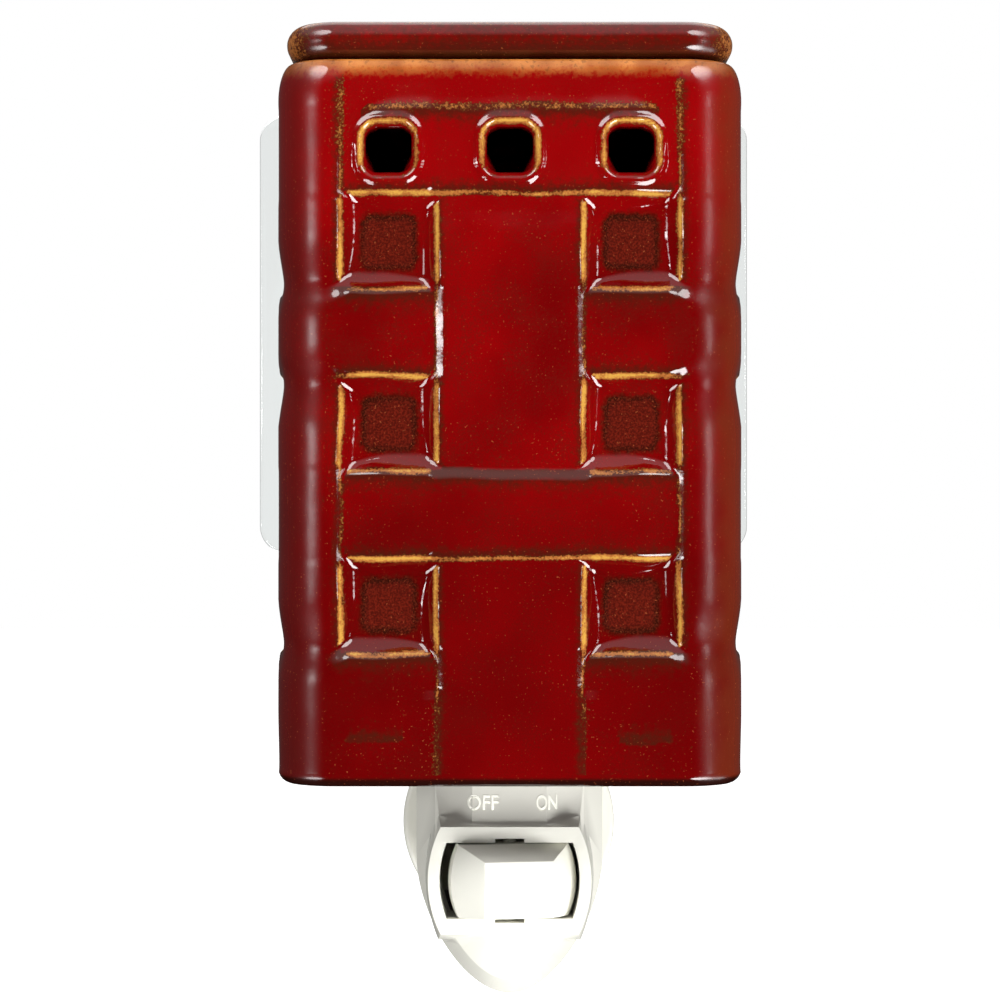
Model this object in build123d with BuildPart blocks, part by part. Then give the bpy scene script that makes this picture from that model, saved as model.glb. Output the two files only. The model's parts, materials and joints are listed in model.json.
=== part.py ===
from build123d import *
import os
from math import cos, radians, sin, tan

os.makedirs("parts", exist_ok=True)

# A plug-in wax melt warmer: a glazed ceramic shade in a basket weave stands on a
# switched night-light base, and a lift-off dish lies on the shade over the bulb.
# Lengths are in mm. The origin is the centre of the plug's face against the wall,
# +X is to the right seen from the room, +Y goes into the wall and +Z is up.

# Cuts run past the faces that they open by this much
overrun = 1.0

# Clearances
fit = 0.1
running_fit = 0.05
moving_gap = 0.3
seat_gap = 0.3

# Wall guard, a clear plate between the shade and the wall
guard_width = 92.2
guard_height = 83.0
guard_thickness = 2.4
guard_corner = 5.0
guard_edge_round = 0.6
guard_stand_off = 3.0
guard_bottom = 37.5
guard_side_shift = -1.0

# Push rivets that hold the guard on the shade's back
rivet_pitch = 40.0
rivet_drop = 24.0
rivet_shank_r = 2.0
rivet_head_r = 3.8
rivet_head_t = 1.2
rivet_barb_r = 2.7
rivet_barb_length = 2.4
rivet_tip_r = 1.2

# Shade
shade_width = 78.0
shade_depth = 66.0
shade_height = 120.6
shade_corner = 10.0
shade_wall = 4.2
shade_floor = 5.0
shade_lip_round = 2.3
shade_foot_round = 2.3
shade_mouth_round = 1.4
plug_drop = 13.4

# Weave in relief on the shade's front and sides
relief = 0.9
weave_slope_angle = 35.0
groove = 0.2
weave_base = 7.4
band_height = 14.9
band_pitch = 30.2
front_strip = 24.8
side_strip = 14.0
corner_reach = 11.2
window_margin = 0.6
window_depth = 2.1
window_floor = 8.6
vent_pitch = 20.1
vent_hole = 7.7
vent_hole_round = 1.8
vent_rim = 10.5
vent_rim_round = 2.2
vent_rim_height = 0.6
rim_recess_drop = 2.6

# Dish
dish_inset = 1.4
dish_corner = 9.0
dish_rim = 6.3
dish_rim_round = 3.1
dish_wall = 3.6
dish_floor = 3.6
dish_bowl_drop = 10.0
dish_bowl_gap = 1.6
dish_bowl_corner = 5.0
dish_bowl_round = 3.0
dish_basin_lean = 3.4
dish_mouth_round = 1.4
dish_basin_round = 2.4

# Base housing, seen from above: a flat front, two facets a side, then straight sides
neck_reach = 15.5
neck_front_half = 6.4
neck_cheek_half = 12.9
neck_half = 16.3
neck_cheek_set = 4.7
neck_side_set = 11.4
housing_wall = 2.0
housing_rear_gap = 0.3
split_set = 14.4
gasket_t = 0.5
gasket_r = 15.0
gasket_bore_gap = 0.3

# Base housing, seen from the front: how far below the shade each section's sides end,
# and its lowest point
rear_side_drop = 15.0
rear_keel_drop = 33.5
cheek_side_drop = 17.0
cheek_keel_drop = 35.5
front_side_drop = 23.5
front_keel_drop = 29.5
keel_drop = 39.0
side_pull_share = 0.42
keel_pull_share = 0.49

# Bezel round the switch, a barrel shape
bezel_width = 28.0
bezel_flat = 23.6
bezel_height = 18.4
bezel_proud = 1.2
bezel_back = 7.6
bezel_back_rise = 2.0
bezel_back_spread = 0.6
switch_drop = 17.6
switch_mouth_width = 24.0
switch_mouth_flat = 21.6
switch_mouth_height = 13.0
switch_mouth_depth = 9.6
bearing_cheek_half = 4.0
bearing_cheek_t = 2.5
bearing_cheek_back = 2.6
notch_width = 5.0
notch_height = 0.7

# Rocker, which turns about an upright axis
rocker_swing = 20.0
rocker_width = 21.8
rocker_flat = 19.0
rocker_skirt = 3.0
rocker_pivot_set = 4.5
rocker_rim_reach = 4.0
rocker_face_width = 11.8
rocker_face_height = 9.6
rocker_face_drop = 1.0
rocker_proud = 5.2
rocker_face_round = 0.7
rocker_hub_r = 2.7
rocker_tail_r = 2.6
rocker_tail = 6.0
trunnion_r = 1.2
trunnion_length = 1.0
plunger_r = 1.3
plunger_reach = 8.4
plunger_seat = 3.0

# Switch contacts
plate_length = 15.0
plate_height = 4.8
plate_t = 0.7
plate_swing = 14.0
plate_gap = 0.1
fulcrum_height = 1.3
fulcrum_t = 0.9
strip_t = 0.8
line_strip_width = 5.0
load_strip_width = 4.0
load_x = 6.0
stud_r = 1.5
block_half = 13.0
block_t = 3.5
block_ear_height = 1.9
block_bottom_drop = 21.4
block_top_drop = 12.9
line_run_drop = 28.4

# Plug, a two-blade mains plug that swivels in the housing's back
plug_flange_r = 20.0
plug_flange_t = 4.4
plug_flange_round = 1.0
hub_r = 8.6
retainer_r = 10.4
retainer_t = 1.6
retainer_screw_offset = 6.1
retainer_screw_r = 0.9
retainer_screw_head_r = 1.4
retainer_screw_head_t = 0.5
retainer_screw_length = 4.6
blade_pitch = 12.7
blade_t = 1.5
blade_length = 17.5
line_blade_width = 6.35
neutral_blade_width = 7.9
blade_hole_r = 1.5
blade_hole_set = 11.9
blade_tip_chamfer = 0.5
ring_t = 0.5
line_ring_inner = 7.8
line_ring_outer = 10.0
neutral_ring_inner = 1.6
neutral_ring_outer = 4.2
ring_tab = 4.0
ring_tab_margin = 0.2

# Lamp socket and the nut that clamps the shade
socket_r = 12.0
socket_bottom_drop = 8.4
socket_top = 46.6
socket_bore_r = 7.0
socket_web = 2.0
socket_cavity_r = 9.5
socket_flange_r = 13.2
socket_flange_t = 2.0
socket_top_round = 0.8
nut_r = 18.0
nut_t = 5.0
nut_notch_r = 1.6
nut_notches = 12
shell_t = 0.5
shell_height = 13.4
shell_set_down = 0.6
socket_well = 16.0
shell_radial_gap = 0.1
centre_rivet_r = 1.2
centre_head_r = 3.0
centre_head_t = 1.0
neutral_strip_width = 4.0
neutral_run_drop = 12.4
neutral_leaf_top = 4.8
neutral_overlap = 6.0
slot_gap = 0.2
slot_inner_r = 2.8

# Bulb, a small screw-base candle lamp
bulb_length = 54.0
bulb_max_r = 11.0
bulb_belly = 33.0
bulb_glass_t = 0.7
cap_r = 5.95
cap_wall = 0.7
cap_height = 12.4
cap_insulator_height = 1.4
cap_insulator_r = 4.4
bulb_tip_r = 2.0
bulb_tip_height = 0.7
neck_glass_r = 5.1
neck_glass_depth = 6.0
stem_r = 2.8
stem_height = 8.0
lead_r = 0.35
lead_height = 13.0
lead_foot = 2.0
stem_disc_t = 0.8
neck_pull = 6.0
belly_pull = 8.0
crown_pull = 5.0

# Levels and places that follow from the sizes above
wall_to_shade = guard_stand_off + guard_thickness
shade_y = -(wall_to_shade + shade_depth / 2)
shade_z = plug_drop
shade_top = shade_z + shade_height
neck_top = shade_z - gasket_t
neck_y = shade_y - neck_reach
weave_slope = relief * tan(radians(weave_slope_angle))


# Shade
def band_low(row):
    """Height of a horizontal band's lower edge, counted from the lowest band."""
    return shade_z + weave_base + row * band_pitch


def band_high(row):
    """Height of a horizontal band's upper edge."""
    return band_low(row) + band_height


core_width = shade_width - 2 * relief
core_depth = shade_depth - relief
core_y = shade_y + relief / 2
core_corner = shade_corner - relief
front_y = shade_y - shade_depth / 2
front_span = shade_width / 2 - corner_reach
side_span = shade_depth / 2 - corner_reach
top_band = 3
inner_width = core_width - 2 * shade_wall
inner_depth = core_depth - 2 * shade_wall
inner_corner = core_corner - shade_wall
rim_low = band_high(top_band) + groove
foot_high = band_low(0) - groove
bar_height = band_height - 2 * groove

# The woven faces, each a plane at the depth of the strips that pass under, with half
# the room between the corner strips and the width of its upright middle strip
front_plane = Plane(origin=(0, front_y + relief, 0), x_dir=(1, 0, 0), z_dir=(0, -1, 0))
right_plane = Plane(origin=(core_width / 2, shade_y, 0), x_dir=(0, 1, 0), z_dir=(1, 0, 0))
left_plane = Plane(origin=(-core_width / 2, shade_y, 0), x_dir=(0, -1, 0), z_dir=(-1, 0, 0))
woven_faces = [
    (front_plane, front_span, front_strip),
    (right_plane, side_span, side_strip),
    (left_plane, side_span, side_strip),
]


def slanted_end(face_reach, slope_sign, core_face, out):
    """Two points of a strip's end on a face: deep in the wall, and well outside it."""
    run = slope_sign * tan(radians(weave_slope_angle))
    return (face_reach - run * shade_wall, core_face - out * shade_wall), (
        face_reach + run * shade_wall,
        core_face + out * shade_wall,
    )


def front_corner(side, front_reach, side_reach):
    """Outline round a front corner, from a place on the front to one on the side."""
    front_core = front_y + relief
    side_core = core_width / 2
    deep_front, out_front = slanted_end(front_reach, 1, front_core, -1)
    deep_side, out_side = slanted_end(side_reach, -1, side_core, 1)
    points = [
        deep_front,
        out_front,
        (side_core + shade_wall, front_core - shade_wall),
        (out_side[1], out_side[0]),
        (deep_side[1], deep_side[0]),
        (side_core - shade_wall, front_core + shade_wall),
    ]
    return [(side * x, y) for x, y in points]


def back_corner(side, side_reach):
    """Outline round a back corner, from a place on the side to the flat back."""
    side_core = core_width / 2
    back = shade_y + shade_depth / 2
    deep_side, out_side = slanted_end(side_reach, 1, side_core, 1)
    points = [
        (deep_side[1], deep_side[0]),
        (out_side[1], out_side[0]),
        (side_core + shade_wall, back + overrun),
        (side_core - shade_wall, back + overrun),
    ]
    return [(side * x, y) for x, y in points]


side_front_end = shade_y - side_span
side_back_end = shade_y + side_span
corner_strips = []
wide_wraps = []
for side in (1, -1):
    corner_strips.append(front_corner(side, front_span + groove, side_front_end - groove))
    corner_strips.append(back_corner(side, side_back_end + groove))
    wide_wraps.append(
        front_corner(side, front_strip / 2 + groove, shade_y - side_strip / 2 - groove)
    )
    wide_wraps.append(back_corner(side, shade_y + side_strip / 2 + groove))


vent_z = (band_low(top_band) + band_high(top_band)) / 2
vent_places = [(-vent_pitch, vent_z), (0, vent_z), (vent_pitch, vent_z)]
rivet_z = shade_z + guard_bottom + guard_height - rivet_drop
rivet_places = [
    (guard_side_shift - rivet_pitch / 2, rivet_z),
    (guard_side_shift + rivet_pitch / 2, rivet_z),
]


def pocket(plane, width, height):
    """A window's sloped pocket, from its mouth on a woven face to its smaller floor."""
    with BuildPart() as cutter:
        with BuildSketch(plane):
            Rectangle(width - 2 * window_margin, height - 2 * window_margin)
        with BuildSketch(plane.offset(-window_depth)):
            Rectangle(window_floor, window_floor * height / width)
        loft()
    return cutter.part


def rim_recess(plane, span):
    """The shallow recess in the rim over the top band, between the corner strips."""
    floor_width = 2 * (span + groove)
    recess_top = shade_top - rim_recess_drop
    recess_low = rim_low - weave_slope
    with BuildPart() as cutter:
        with BuildSketch(plane):
            with Locations((0, (recess_low + recess_top - weave_slope) / 2)):
                Rectangle(floor_width, recess_top - weave_slope - recess_low)
        with BuildSketch(plane.offset(relief)):
            with Locations((0, (recess_low + recess_top) / 2)):
                Rectangle(floor_width + 2 * weave_slope, recess_top - recess_low)
        loft()
    return cutter.part


pockets = []
for face_plane, span, strip in woven_faces:
    window_width = span - strip / 2
    for row in range(top_band):
        window_height = band_low(row + 1) - band_high(row)
        window_z = (band_low(row + 1) + band_high(row)) / 2
        for side in (1, -1):
            centre = (side * (span + strip / 2) / 2, window_z, 0)
            at = Plane(face_plane.from_local_coords(centre), face_plane.x_dir, face_plane.z_dir)
            pockets.append(pocket(at, window_width, window_height))


def outline(height, proud):
    """The shade's plan at a height: of the proud strips, or of those that pass under."""
    with BuildSketch(Plane.XY.offset(height)) as plan:
        if proud:
            with Locations((0, shade_y)):
                RectangleRounded(shade_width, shade_depth, shade_corner)
        else:
            with Locations((0, core_y)):
                RectangleRounded(core_width, core_depth, core_corner)
    return plan.sketch


def belt(low, high, regions):
    """A proud belt between two heights, with sloped edges, kept inside the regions."""
    with BuildPart() as strips:
        loft([outline(low, False), outline(low + weave_slope, True)])
        extrude(outline(low + weave_slope, True), amount=high - low - 2 * weave_slope)
        loft([outline(high - weave_slope, True), outline(high, False)])
        with BuildSketch(Plane.XY.offset(low)):
            for points in regions:
                Polygon(*points, align=None)
        extrude(amount=high - low, mode=Mode.INTERSECT)
    return strips.part


with BuildPart() as shade:
    # The plain rim and foot stand as proud as the strips, with sloped inner edges
    extrude(outline(rim_low + weave_slope, True), amount=shade_top - rim_low - weave_slope)
    extrude(outline(shade_z, True), amount=foot_high - weave_slope - shade_z)
    fillet(shade.edges().group_by(Axis.Z)[-1], shade_lip_round)
    fillet(shade.edges().group_by(Axis.Z)[0], shade_foot_round)
    loft([outline(rim_low, False), outline(rim_low + weave_slope, True)])
    loft([outline(foot_high - weave_slope, True), outline(foot_high, False)])
    extrude(outline(foot_high - weave_slope, False), amount=rim_low - foot_high + 2 * weave_slope)
    for face_plane, span, _ in woven_faces:
        add(rim_recess(face_plane, span), mode=Mode.SUBTRACT)
    # Strips that show between two crossings on one face, with all four edges sloped
    for face_plane, span, strip in woven_faces:
        with BuildSketch(face_plane):
            for row in (1, top_band):
                with Locations((0, (band_low(row) + band_high(row)) / 2)):
                    Rectangle(2 * (span - groove), bar_height)
            for low, high in ((band_high(1), band_low(3)), (foot_high, band_low(1))):
                with Locations((0, (low + high) / 2)):
                    Rectangle(strip - 2 * groove, high - low - 2 * groove)
        extrude(amount=relief, taper=weave_slope_angle)
    # Strips that wrap the corners
    wraps = [
        (wide_wraps, band_low(0) + groove, band_high(0) - groove),
        (wide_wraps, band_low(2) + groove, band_high(2) - groove),
        (corner_strips, band_high(0) + groove, band_low(2) - groove),
        (corner_strips, band_high(2) + groove, rim_low + 4 * weave_slope),
    ]
    for regions, low, high in wraps:
        add(belt(low, high, regions))
    for cutter in pockets:
        add(cutter, mode=Mode.SUBTRACT)
    # Hollow inside, open at the top, with a hole in the floor for the lamp socket
    with BuildSketch(Plane.XY.offset(shade_z + shade_floor)):
        with Locations((0, core_y)):
            RectangleRounded(inner_width, inner_depth, inner_corner)
    extrude(amount=shade_height, mode=Mode.SUBTRACT)
    mouth = shade.faces().sort_by(Axis.Z)[-1].inner_wires()[0]
    fillet(mouth.edges(), shade_mouth_round)
    # Three vents with raised rims in the top band
    with BuildSketch(front_plane):
        with Locations(*vent_places):
            RectangleRounded(vent_rim, vent_rim, vent_rim_round)
    extrude(amount=relief + vent_rim_height)
    with BuildSketch(front_plane.offset(relief + vent_rim_height)):
        with Locations(*vent_places):
            RectangleRounded(vent_hole, vent_hole, vent_hole_round)
    extrude(amount=-(relief + vent_rim_height + shade_wall + overrun), mode=Mode.SUBTRACT)
    with BuildSketch(Plane.XY.offset(shade_z)):
        with Locations((0, shade_y)):
            Circle(socket_r + fit)
    extrude(amount=shade_floor, mode=Mode.SUBTRACT)
    with BuildSketch(Plane.XZ.offset(wall_to_shade)):
        with Locations(*rivet_places):
            Circle(rivet_shank_r + fit)
    extrude(amount=shade_wall, mode=Mode.SUBTRACT)
shade.part.label = "shade"
export_step(shade.part, "parts/shade.step")


# Dish, a tray whose round rim lies on the shade's lip while its bowl hangs inside
dish_width = shade_width - 2 * dish_inset
dish_depth = shade_depth - 2 * dish_inset
dish_seat = shade_top + seat_gap
dish_top = dish_seat + dish_rim
bowl_width = inner_width - 2 * dish_bowl_gap
bowl_depth = inner_depth - 2 * dish_bowl_gap
basin_bottom = dish_seat - dish_bowl_drop + dish_floor

with BuildPart() as dish:
    with BuildSketch(Plane.XY.offset(dish_seat)):
        with Locations((0, core_y)):
            RectangleRounded(dish_width, dish_depth, dish_corner)
    extrude(amount=dish_rim)
    rim_edges = dish.edges().group_by(Axis.Z)
    fillet(rim_edges[0] + rim_edges[-1], dish_rim_round)
    with BuildSketch(Plane.XY.offset(dish_seat - dish_bowl_drop)):
        with Locations((0, core_y)):
            RectangleRounded(bowl_width, bowl_depth, dish_bowl_corner)
    extrude(amount=dish_bowl_drop + dish_rim_round)
    fillet(dish.edges().group_by(Axis.Z)[0], dish_bowl_round)
    # The basin narrows towards its floor
    basin_width = bowl_width - 2 * dish_wall
    basin_depth = bowl_depth - 2 * dish_wall
    with BuildSketch(Plane.XY.offset(basin_bottom)):
        with Locations((0, core_y)):
            RectangleRounded(basin_width, basin_depth, dish_bowl_corner)
    with BuildSketch(Plane.XY.offset(dish_top)):
        with Locations((0, core_y)):
            RectangleRounded(
                basin_width + 2 * dish_basin_lean,
                basin_depth + 2 * dish_basin_lean,
                dish_bowl_corner,
            )
    loft(ruled=True, mode=Mode.SUBTRACT)
    basin_floor = dish.faces().filter_by_position(Axis.Z, basin_bottom - fit, basin_bottom + fit)
    fillet(basin_floor.edges(), dish_basin_round)
    basin_mouth = dish.faces().sort_by(Axis.Z)[-1].inner_wires()[0]
    fillet(basin_mouth.edges(), dish_mouth_round)
dish.part.label = "dish"
export_step(dish.part, "parts/dish.step")


# Wall guard and its push rivets
guard_middle = shade_z + guard_bottom + guard_height / 2

with BuildPart() as wall_guard:
    with BuildSketch(Plane.XZ.offset(guard_stand_off)):
        with Locations((guard_side_shift, guard_middle)):
            RectangleRounded(guard_width, guard_height, guard_corner)
    extrude(amount=guard_thickness)
    guard_faces = wall_guard.edges().group_by(Axis.Y)
    fillet(guard_faces[0] + guard_faces[-1], guard_edge_round)
    with BuildSketch(Plane.XZ.offset(guard_stand_off)):
        with Locations(*rivet_places):
            Circle(rivet_shank_r + fit)
    extrude(amount=guard_thickness, mode=Mode.SUBTRACT)
wall_guard.part.label = "wall_guard"
export_step(wall_guard.part, "parts/wall_guard.step")

# Each rivet: a domed head on the wall side, a shank through both holes, a split barb
rivet_grip = guard_thickness + shade_wall
with BuildPart() as guard_rivets:
    with BuildSketch(Plane.XY) as rivet_half:
        with BuildLine():
            Polyline(
                (0, -rivet_head_t),
                (rivet_head_r / 2, -rivet_head_t),
                (rivet_head_r, 0),
                (rivet_shank_r, 0),
                (rivet_shank_r, rivet_grip + fit),
                (rivet_barb_r, rivet_grip + fit),
                (rivet_tip_r, rivet_grip + rivet_barb_length),
                (0, rivet_grip + rivet_barb_length),
                close=True,
            )
        make_face()
    one_rivet = revolve(rivet_half.sketch, axis=Axis.Y, mode=Mode.PRIVATE)
    for place_x, place_z in rivet_places:
        at_hole = Location((place_x, -guard_stand_off, place_z), (180, 0, 0))
        add(at_hole * one_rivet)
guard_rivets.part.label = "guard_rivets"
export_step(guard_rivets.part, "parts/guard_rivets.step")


# Base housing
housing_rear = -(plug_flange_t + housing_rear_gap)
split_depth = -shade_y - split_set


def housing_section(y, half, side_drop, lowest_drop, inset):
    """The housing's outline across at a depth: straight sides run into a round keel."""
    top = neck_top - inset
    side = shade_z - side_drop
    keel = shade_z - lowest_drop + inset
    reach = half - inset
    pull = side - (side - keel) * side_pull_share
    spread = reach * keel_pull_share
    with BuildSketch(Plane.XZ.offset(-y)) as section:
        with BuildLine():
            Polyline((-reach, side), (-reach, top), (reach, top), (reach, side))
            Bezier((reach, side), (reach, pull), (spread, keel), (0, keel))
            Bezier((0, keel), (-spread, keel), (-reach, pull), (-reach, side))
        make_face()
    return section.sketch


def housing_form(inset):
    """The housing as facets through its sections, or its hollow with an inset."""
    sections = [
        housing_section(housing_rear - inset, neck_half, rear_side_drop, rear_keel_drop, inset),
        housing_section(
            neck_y + neck_side_set + inset / 2, neck_half, rear_side_drop, keel_drop, inset
        ),
        housing_section(
            neck_y + neck_cheek_set + inset, neck_cheek_half, cheek_side_drop, cheek_keel_drop, inset
        ),
        housing_section(
            neck_y + inset, neck_front_half + inset / 2, front_side_drop, front_keel_drop, inset
        ),
    ]
    with BuildPart() as form:
        loft(sections, ruled=True)
    return form.part


def barrel(plane, width, flat, height):
    """A face with straight top and bottom edges and sides that bow outwards."""
    with BuildSketch(plane) as face:
        with BuildLine():
            Line((-flat / 2, height / 2), (flat / 2, height / 2))
            ThreePointArc((flat / 2, height / 2), (width / 2, 0), (flat / 2, -height / 2))
            Line((flat / 2, -height / 2), (-flat / 2, -height / 2))
            ThreePointArc((-flat / 2, -height / 2), (-width / 2, 0), (-flat / 2, height / 2))
        make_face()
    return face.sketch


switch_z = shade_z - switch_drop
bezel_y = neck_y - bezel_proud
pivot_y = bezel_y + rocker_pivot_set
bezel_plane = Plane(origin=(0, bezel_y, switch_z), x_dir=(1, 0, 0), z_dir=(0, -1, 0))
housing_outer = housing_form(0)
housing_hollow = housing_form(housing_wall)
cheek_middle = (switch_mouth_height + bearing_cheek_t) / 2

with BuildPart() as base_front:
    add(housing_outer)
    # The bezel's block flares back into the facets
    loft(
        [
            barrel(bezel_plane, bezel_width, bezel_flat, bezel_height),
            barrel(
                bezel_plane.offset(-bezel_back),
                bezel_width + 2 * bezel_back_spread,
                bezel_flat + 2 * bezel_back_spread,
                bezel_height + 2 * bezel_back_rise,
            ),
        ],
        ruled=True,
    )
    add(housing_hollow, mode=Mode.SUBTRACT)
    # Cheeks inside carry the rocker's bearings
    cheek_depth = pivot_y + bearing_cheek_back - (neck_y + housing_wall / 2)
    with Locations((0, neck_y + housing_wall / 2 + cheek_depth / 2, switch_z)):
        with Locations((0, 0, cheek_middle), (0, 0, -cheek_middle)):
            Box(2 * bearing_cheek_half, cheek_depth, bearing_cheek_t)
    # The switch opening, its insertion notches and the bearing holes
    mouth = barrel(bezel_plane, switch_mouth_width, switch_mouth_flat, switch_mouth_height)
    extrude(mouth, amount=-switch_mouth_depth, mode=Mode.SUBTRACT)
    with Locations((0, (bezel_y + pivot_y) / 2, switch_z)):
        Box(
            notch_width,
            rocker_pivot_set,
            switch_mouth_height + 2 * notch_height,
            mode=Mode.SUBTRACT,
        )
    with Locations((0, pivot_y, switch_z)):
        Cylinder(
            trunnion_r + running_fit,
            switch_mouth_height + 2 * (trunnion_length + fit),
            mode=Mode.SUBTRACT,
        )
    # The socket tube comes up through the top
    with Locations((0, shade_y, neck_top - housing_wall / 2)):
        Cylinder(socket_r + fit, housing_wall, mode=Mode.SUBTRACT)
    split(bisect_by=Plane.XZ.offset(split_depth), keep=Keep.TOP)
base_front.part.label = "base_front"
export_step(base_front.part, "parts/base_front.step")

with BuildPart() as base_rear:
    add(housing_outer)
    add(housing_hollow, mode=Mode.SUBTRACT)
    with BuildSketch(Plane.XZ.offset(-housing_rear)):
        Circle(hub_r + running_fit)
    extrude(amount=housing_wall, mode=Mode.SUBTRACT)
    with Locations((0, shade_y, neck_top - housing_wall / 2)):
        Cylinder(socket_r + fit, housing_wall, mode=Mode.SUBTRACT)
    split(bisect_by=Plane.XZ.offset(split_depth), keep=Keep.BOTTOM)
base_rear.part.label = "base_rear"
export_step(base_rear.part, "parts/base_rear.step")


# Rocker, at rest with its right side pressed in, and its spring plunger
def turned_plane(y, degrees):
    """An upright plane on the switch's level, turned from facing the room."""
    turn = radians(degrees)
    return Plane(
        origin=(0, y, switch_z), x_dir=(cos(turn), sin(turn), 0), z_dir=(sin(turn), -cos(turn), 0)
    )


rocker_front = turned_plane(pivot_y, rocker_swing / 2)
rocker_height = switch_mouth_height - 2 * moving_gap
rim_plane = rocker_front.offset(rocker_rim_reach)
rocker_rim = barrel(rim_plane, rocker_width, rocker_flat, rocker_height)

with BuildPart() as rocker:
    extrude(rocker_rim, amount=-rocker_skirt)
    with BuildSketch(rim_plane.offset(rocker_proud)) as rocker_face:
        with Locations((0, -rocker_face_drop)):
            Rectangle(rocker_face_width, rocker_face_height)
    loft([rocker_rim, rocker_face.sketch], ruled=True)
    front_face = rocker.faces().sort_by(Axis((0, 0, 0), rocker_front.z_dir))[-1]
    fillet(front_face.edges(), rocker_face_round)
    with Locations((0, pivot_y, switch_z)):
        Cylinder(rocker_hub_r, rocker_height)
        Cylinder(trunnion_r, switch_mouth_height + 2 * trunnion_length)
    with BuildSketch(rocker_front):
        Circle(rocker_tail_r)
    extrude(amount=-rocker_tail)
    with BuildSketch(rocker_front.offset(-rocker_tail)):
        Circle(plunger_r + running_fit)
    extrude(amount=rocker_tail - plunger_seat, mode=Mode.SUBTRACT)
rocker.part.label = "rocker"
export_step(rocker.part, "parts/rocker.step")

with BuildPart() as rocker_plunger:
    with BuildSketch(rocker_front.offset(-plunger_seat)):
        Circle(plunger_r)
    extrude(amount=-(plunger_reach - plunger_r - plunger_seat))
    with Locations(rocker_front.offset(plunger_r - plunger_reach)):
        Sphere(plunger_r)
rocker_plunger.part.label = "rocker_plunger"
export_step(rocker_plunger.part, "parts/rocker_plunger.step")


# Switch contacts: a plate that rocks on the line strip's fulcrum, and a stud to the lamp
plate_y = pivot_y + plunger_reach + plate_gap
strip_front = plate_y + plate_t + moving_gap + fulcrum_height
strip_mid = strip_front + strip_t / 2
block_front = strip_front + strip_t
plate_plane = turned_plane(plate_y + plate_t / 2, -plate_swing / 2)

with BuildPart() as contact_plate:
    with BuildSketch(plate_plane.offset(-plate_t / 2)):
        Rectangle(plate_length, plate_height)
    extrude(amount=plate_t)
contact_plate.part.label = "contact_plate"
export_step(contact_plate.part, "parts/contact_plate.step")

retainer_back = housing_rear - housing_wall - moving_gap
retainer_front = retainer_back - retainer_t
ring_front = retainer_front - ring_t
leaf_mid = ring_front - moving_gap - strip_t / 2
line_run = shade_z - line_run_drop
neutral_run = shade_z - neutral_run_drop


def bent_strip(points, width):
    """A strip of sheet metal bent along these places in depth and height."""
    with BuildPart() as strip:
        with BuildSketch(Plane.YZ.offset(-width / 2)):
            with BuildLine():
                Polyline(*points)
            trace(line_width=strip_t)
        extrude(amount=width)
    return strip.part


with BuildPart() as line_contact_strip:
    line_route = [
        (leaf_mid, -line_ring_inner),
        (leaf_mid, line_run),
        (strip_mid, line_run),
        (strip_mid, switch_z + plate_height / 2),
    ]
    add(bent_strip(line_route, line_strip_width))
    with Locations((0, strip_front - fulcrum_height / 2, switch_z)):
        Box(fulcrum_t, fulcrum_height, plate_height)
line_contact_strip.part.label = "line_contact_strip"
export_step(line_contact_strip.part, "parts/line_contact_strip.step")

socket_bottom_z = shade_z - socket_bottom_drop
socket_top_z = shade_z + socket_top
web_top = socket_top_z - socket_well
web_bottom = web_top - socket_web
load_bottom = switch_z - plate_height / 2
stud_height = fulcrum_height - (load_x + stud_r) * tan(radians(plate_swing / 2))

with BuildPart() as load_contact_strip:
    with BuildSketch(Plane.XZ.offset(-block_front)):
        with Locations((-load_x, (load_bottom + web_bottom) / 2)):
            Rectangle(load_strip_width, web_bottom - load_bottom)
    extrude(amount=strip_t)
    with BuildSketch(Plane.XZ.offset(-strip_front)):
        with Locations((-load_x, switch_z)):
            Circle(stud_r)
    extrude(amount=stud_height)
    # The tab under the socket's web that the centre contact is riveted to
    tab_low = -load_x - load_strip_width / 2
    tab_high = centre_rivet_r + strip_t
    with BuildSketch(Plane.XY.offset(web_bottom - strip_t)):
        with Locations(((tab_low + tab_high) / 2, shade_y)):
            Rectangle(tab_high - tab_low, 2 * (shade_y - strip_front))
        with Locations((0, shade_y)):
            Circle(centre_rivet_r + running_fit, mode=Mode.SUBTRACT)
    extrude(amount=strip_t)
load_contact_strip.part.label = "load_contact_strip"
export_step(load_contact_strip.part, "parts/load_contact_strip.step")

block_low = shade_z - block_bottom_drop
block_high = shade_z - block_top_drop
with BuildPart() as terminal_block:
    with BuildSketch(Plane.XZ.offset(-block_front)):
        with Locations((0, (block_low + block_high) / 2)):
            Rectangle(2 * block_half, block_high - block_low)
        with Locations((0, block_high - block_ear_height / 2)):
            Rectangle(2 * (neck_half - housing_wall - fit), block_ear_height)
    extrude(amount=-block_t)
terminal_block.part.label = "terminal_block"
export_step(terminal_block.part, "parts/terminal_block.step")


# Plug disc, its retainer and the slip rings, all on the plug's axis
hub_front = retainer_back
blade_places = [
    ("line_blade", blade_pitch / 2, line_blade_width),
    ("neutral_blade", -blade_pitch / 2, neutral_blade_width),
]


def blade_slots(plane):
    """The two blades' outlines with their clearance, on a plane across the plug."""
    with BuildSketch(plane) as slots:
        for _, x, width in blade_places:
            with Locations((x, 0)):
                Rectangle(blade_t + 2 * running_fit, width + 2 * running_fit)
    return slots.sketch


screw_places = [(0, retainer_screw_offset), (0, -retainer_screw_offset)]

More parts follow.
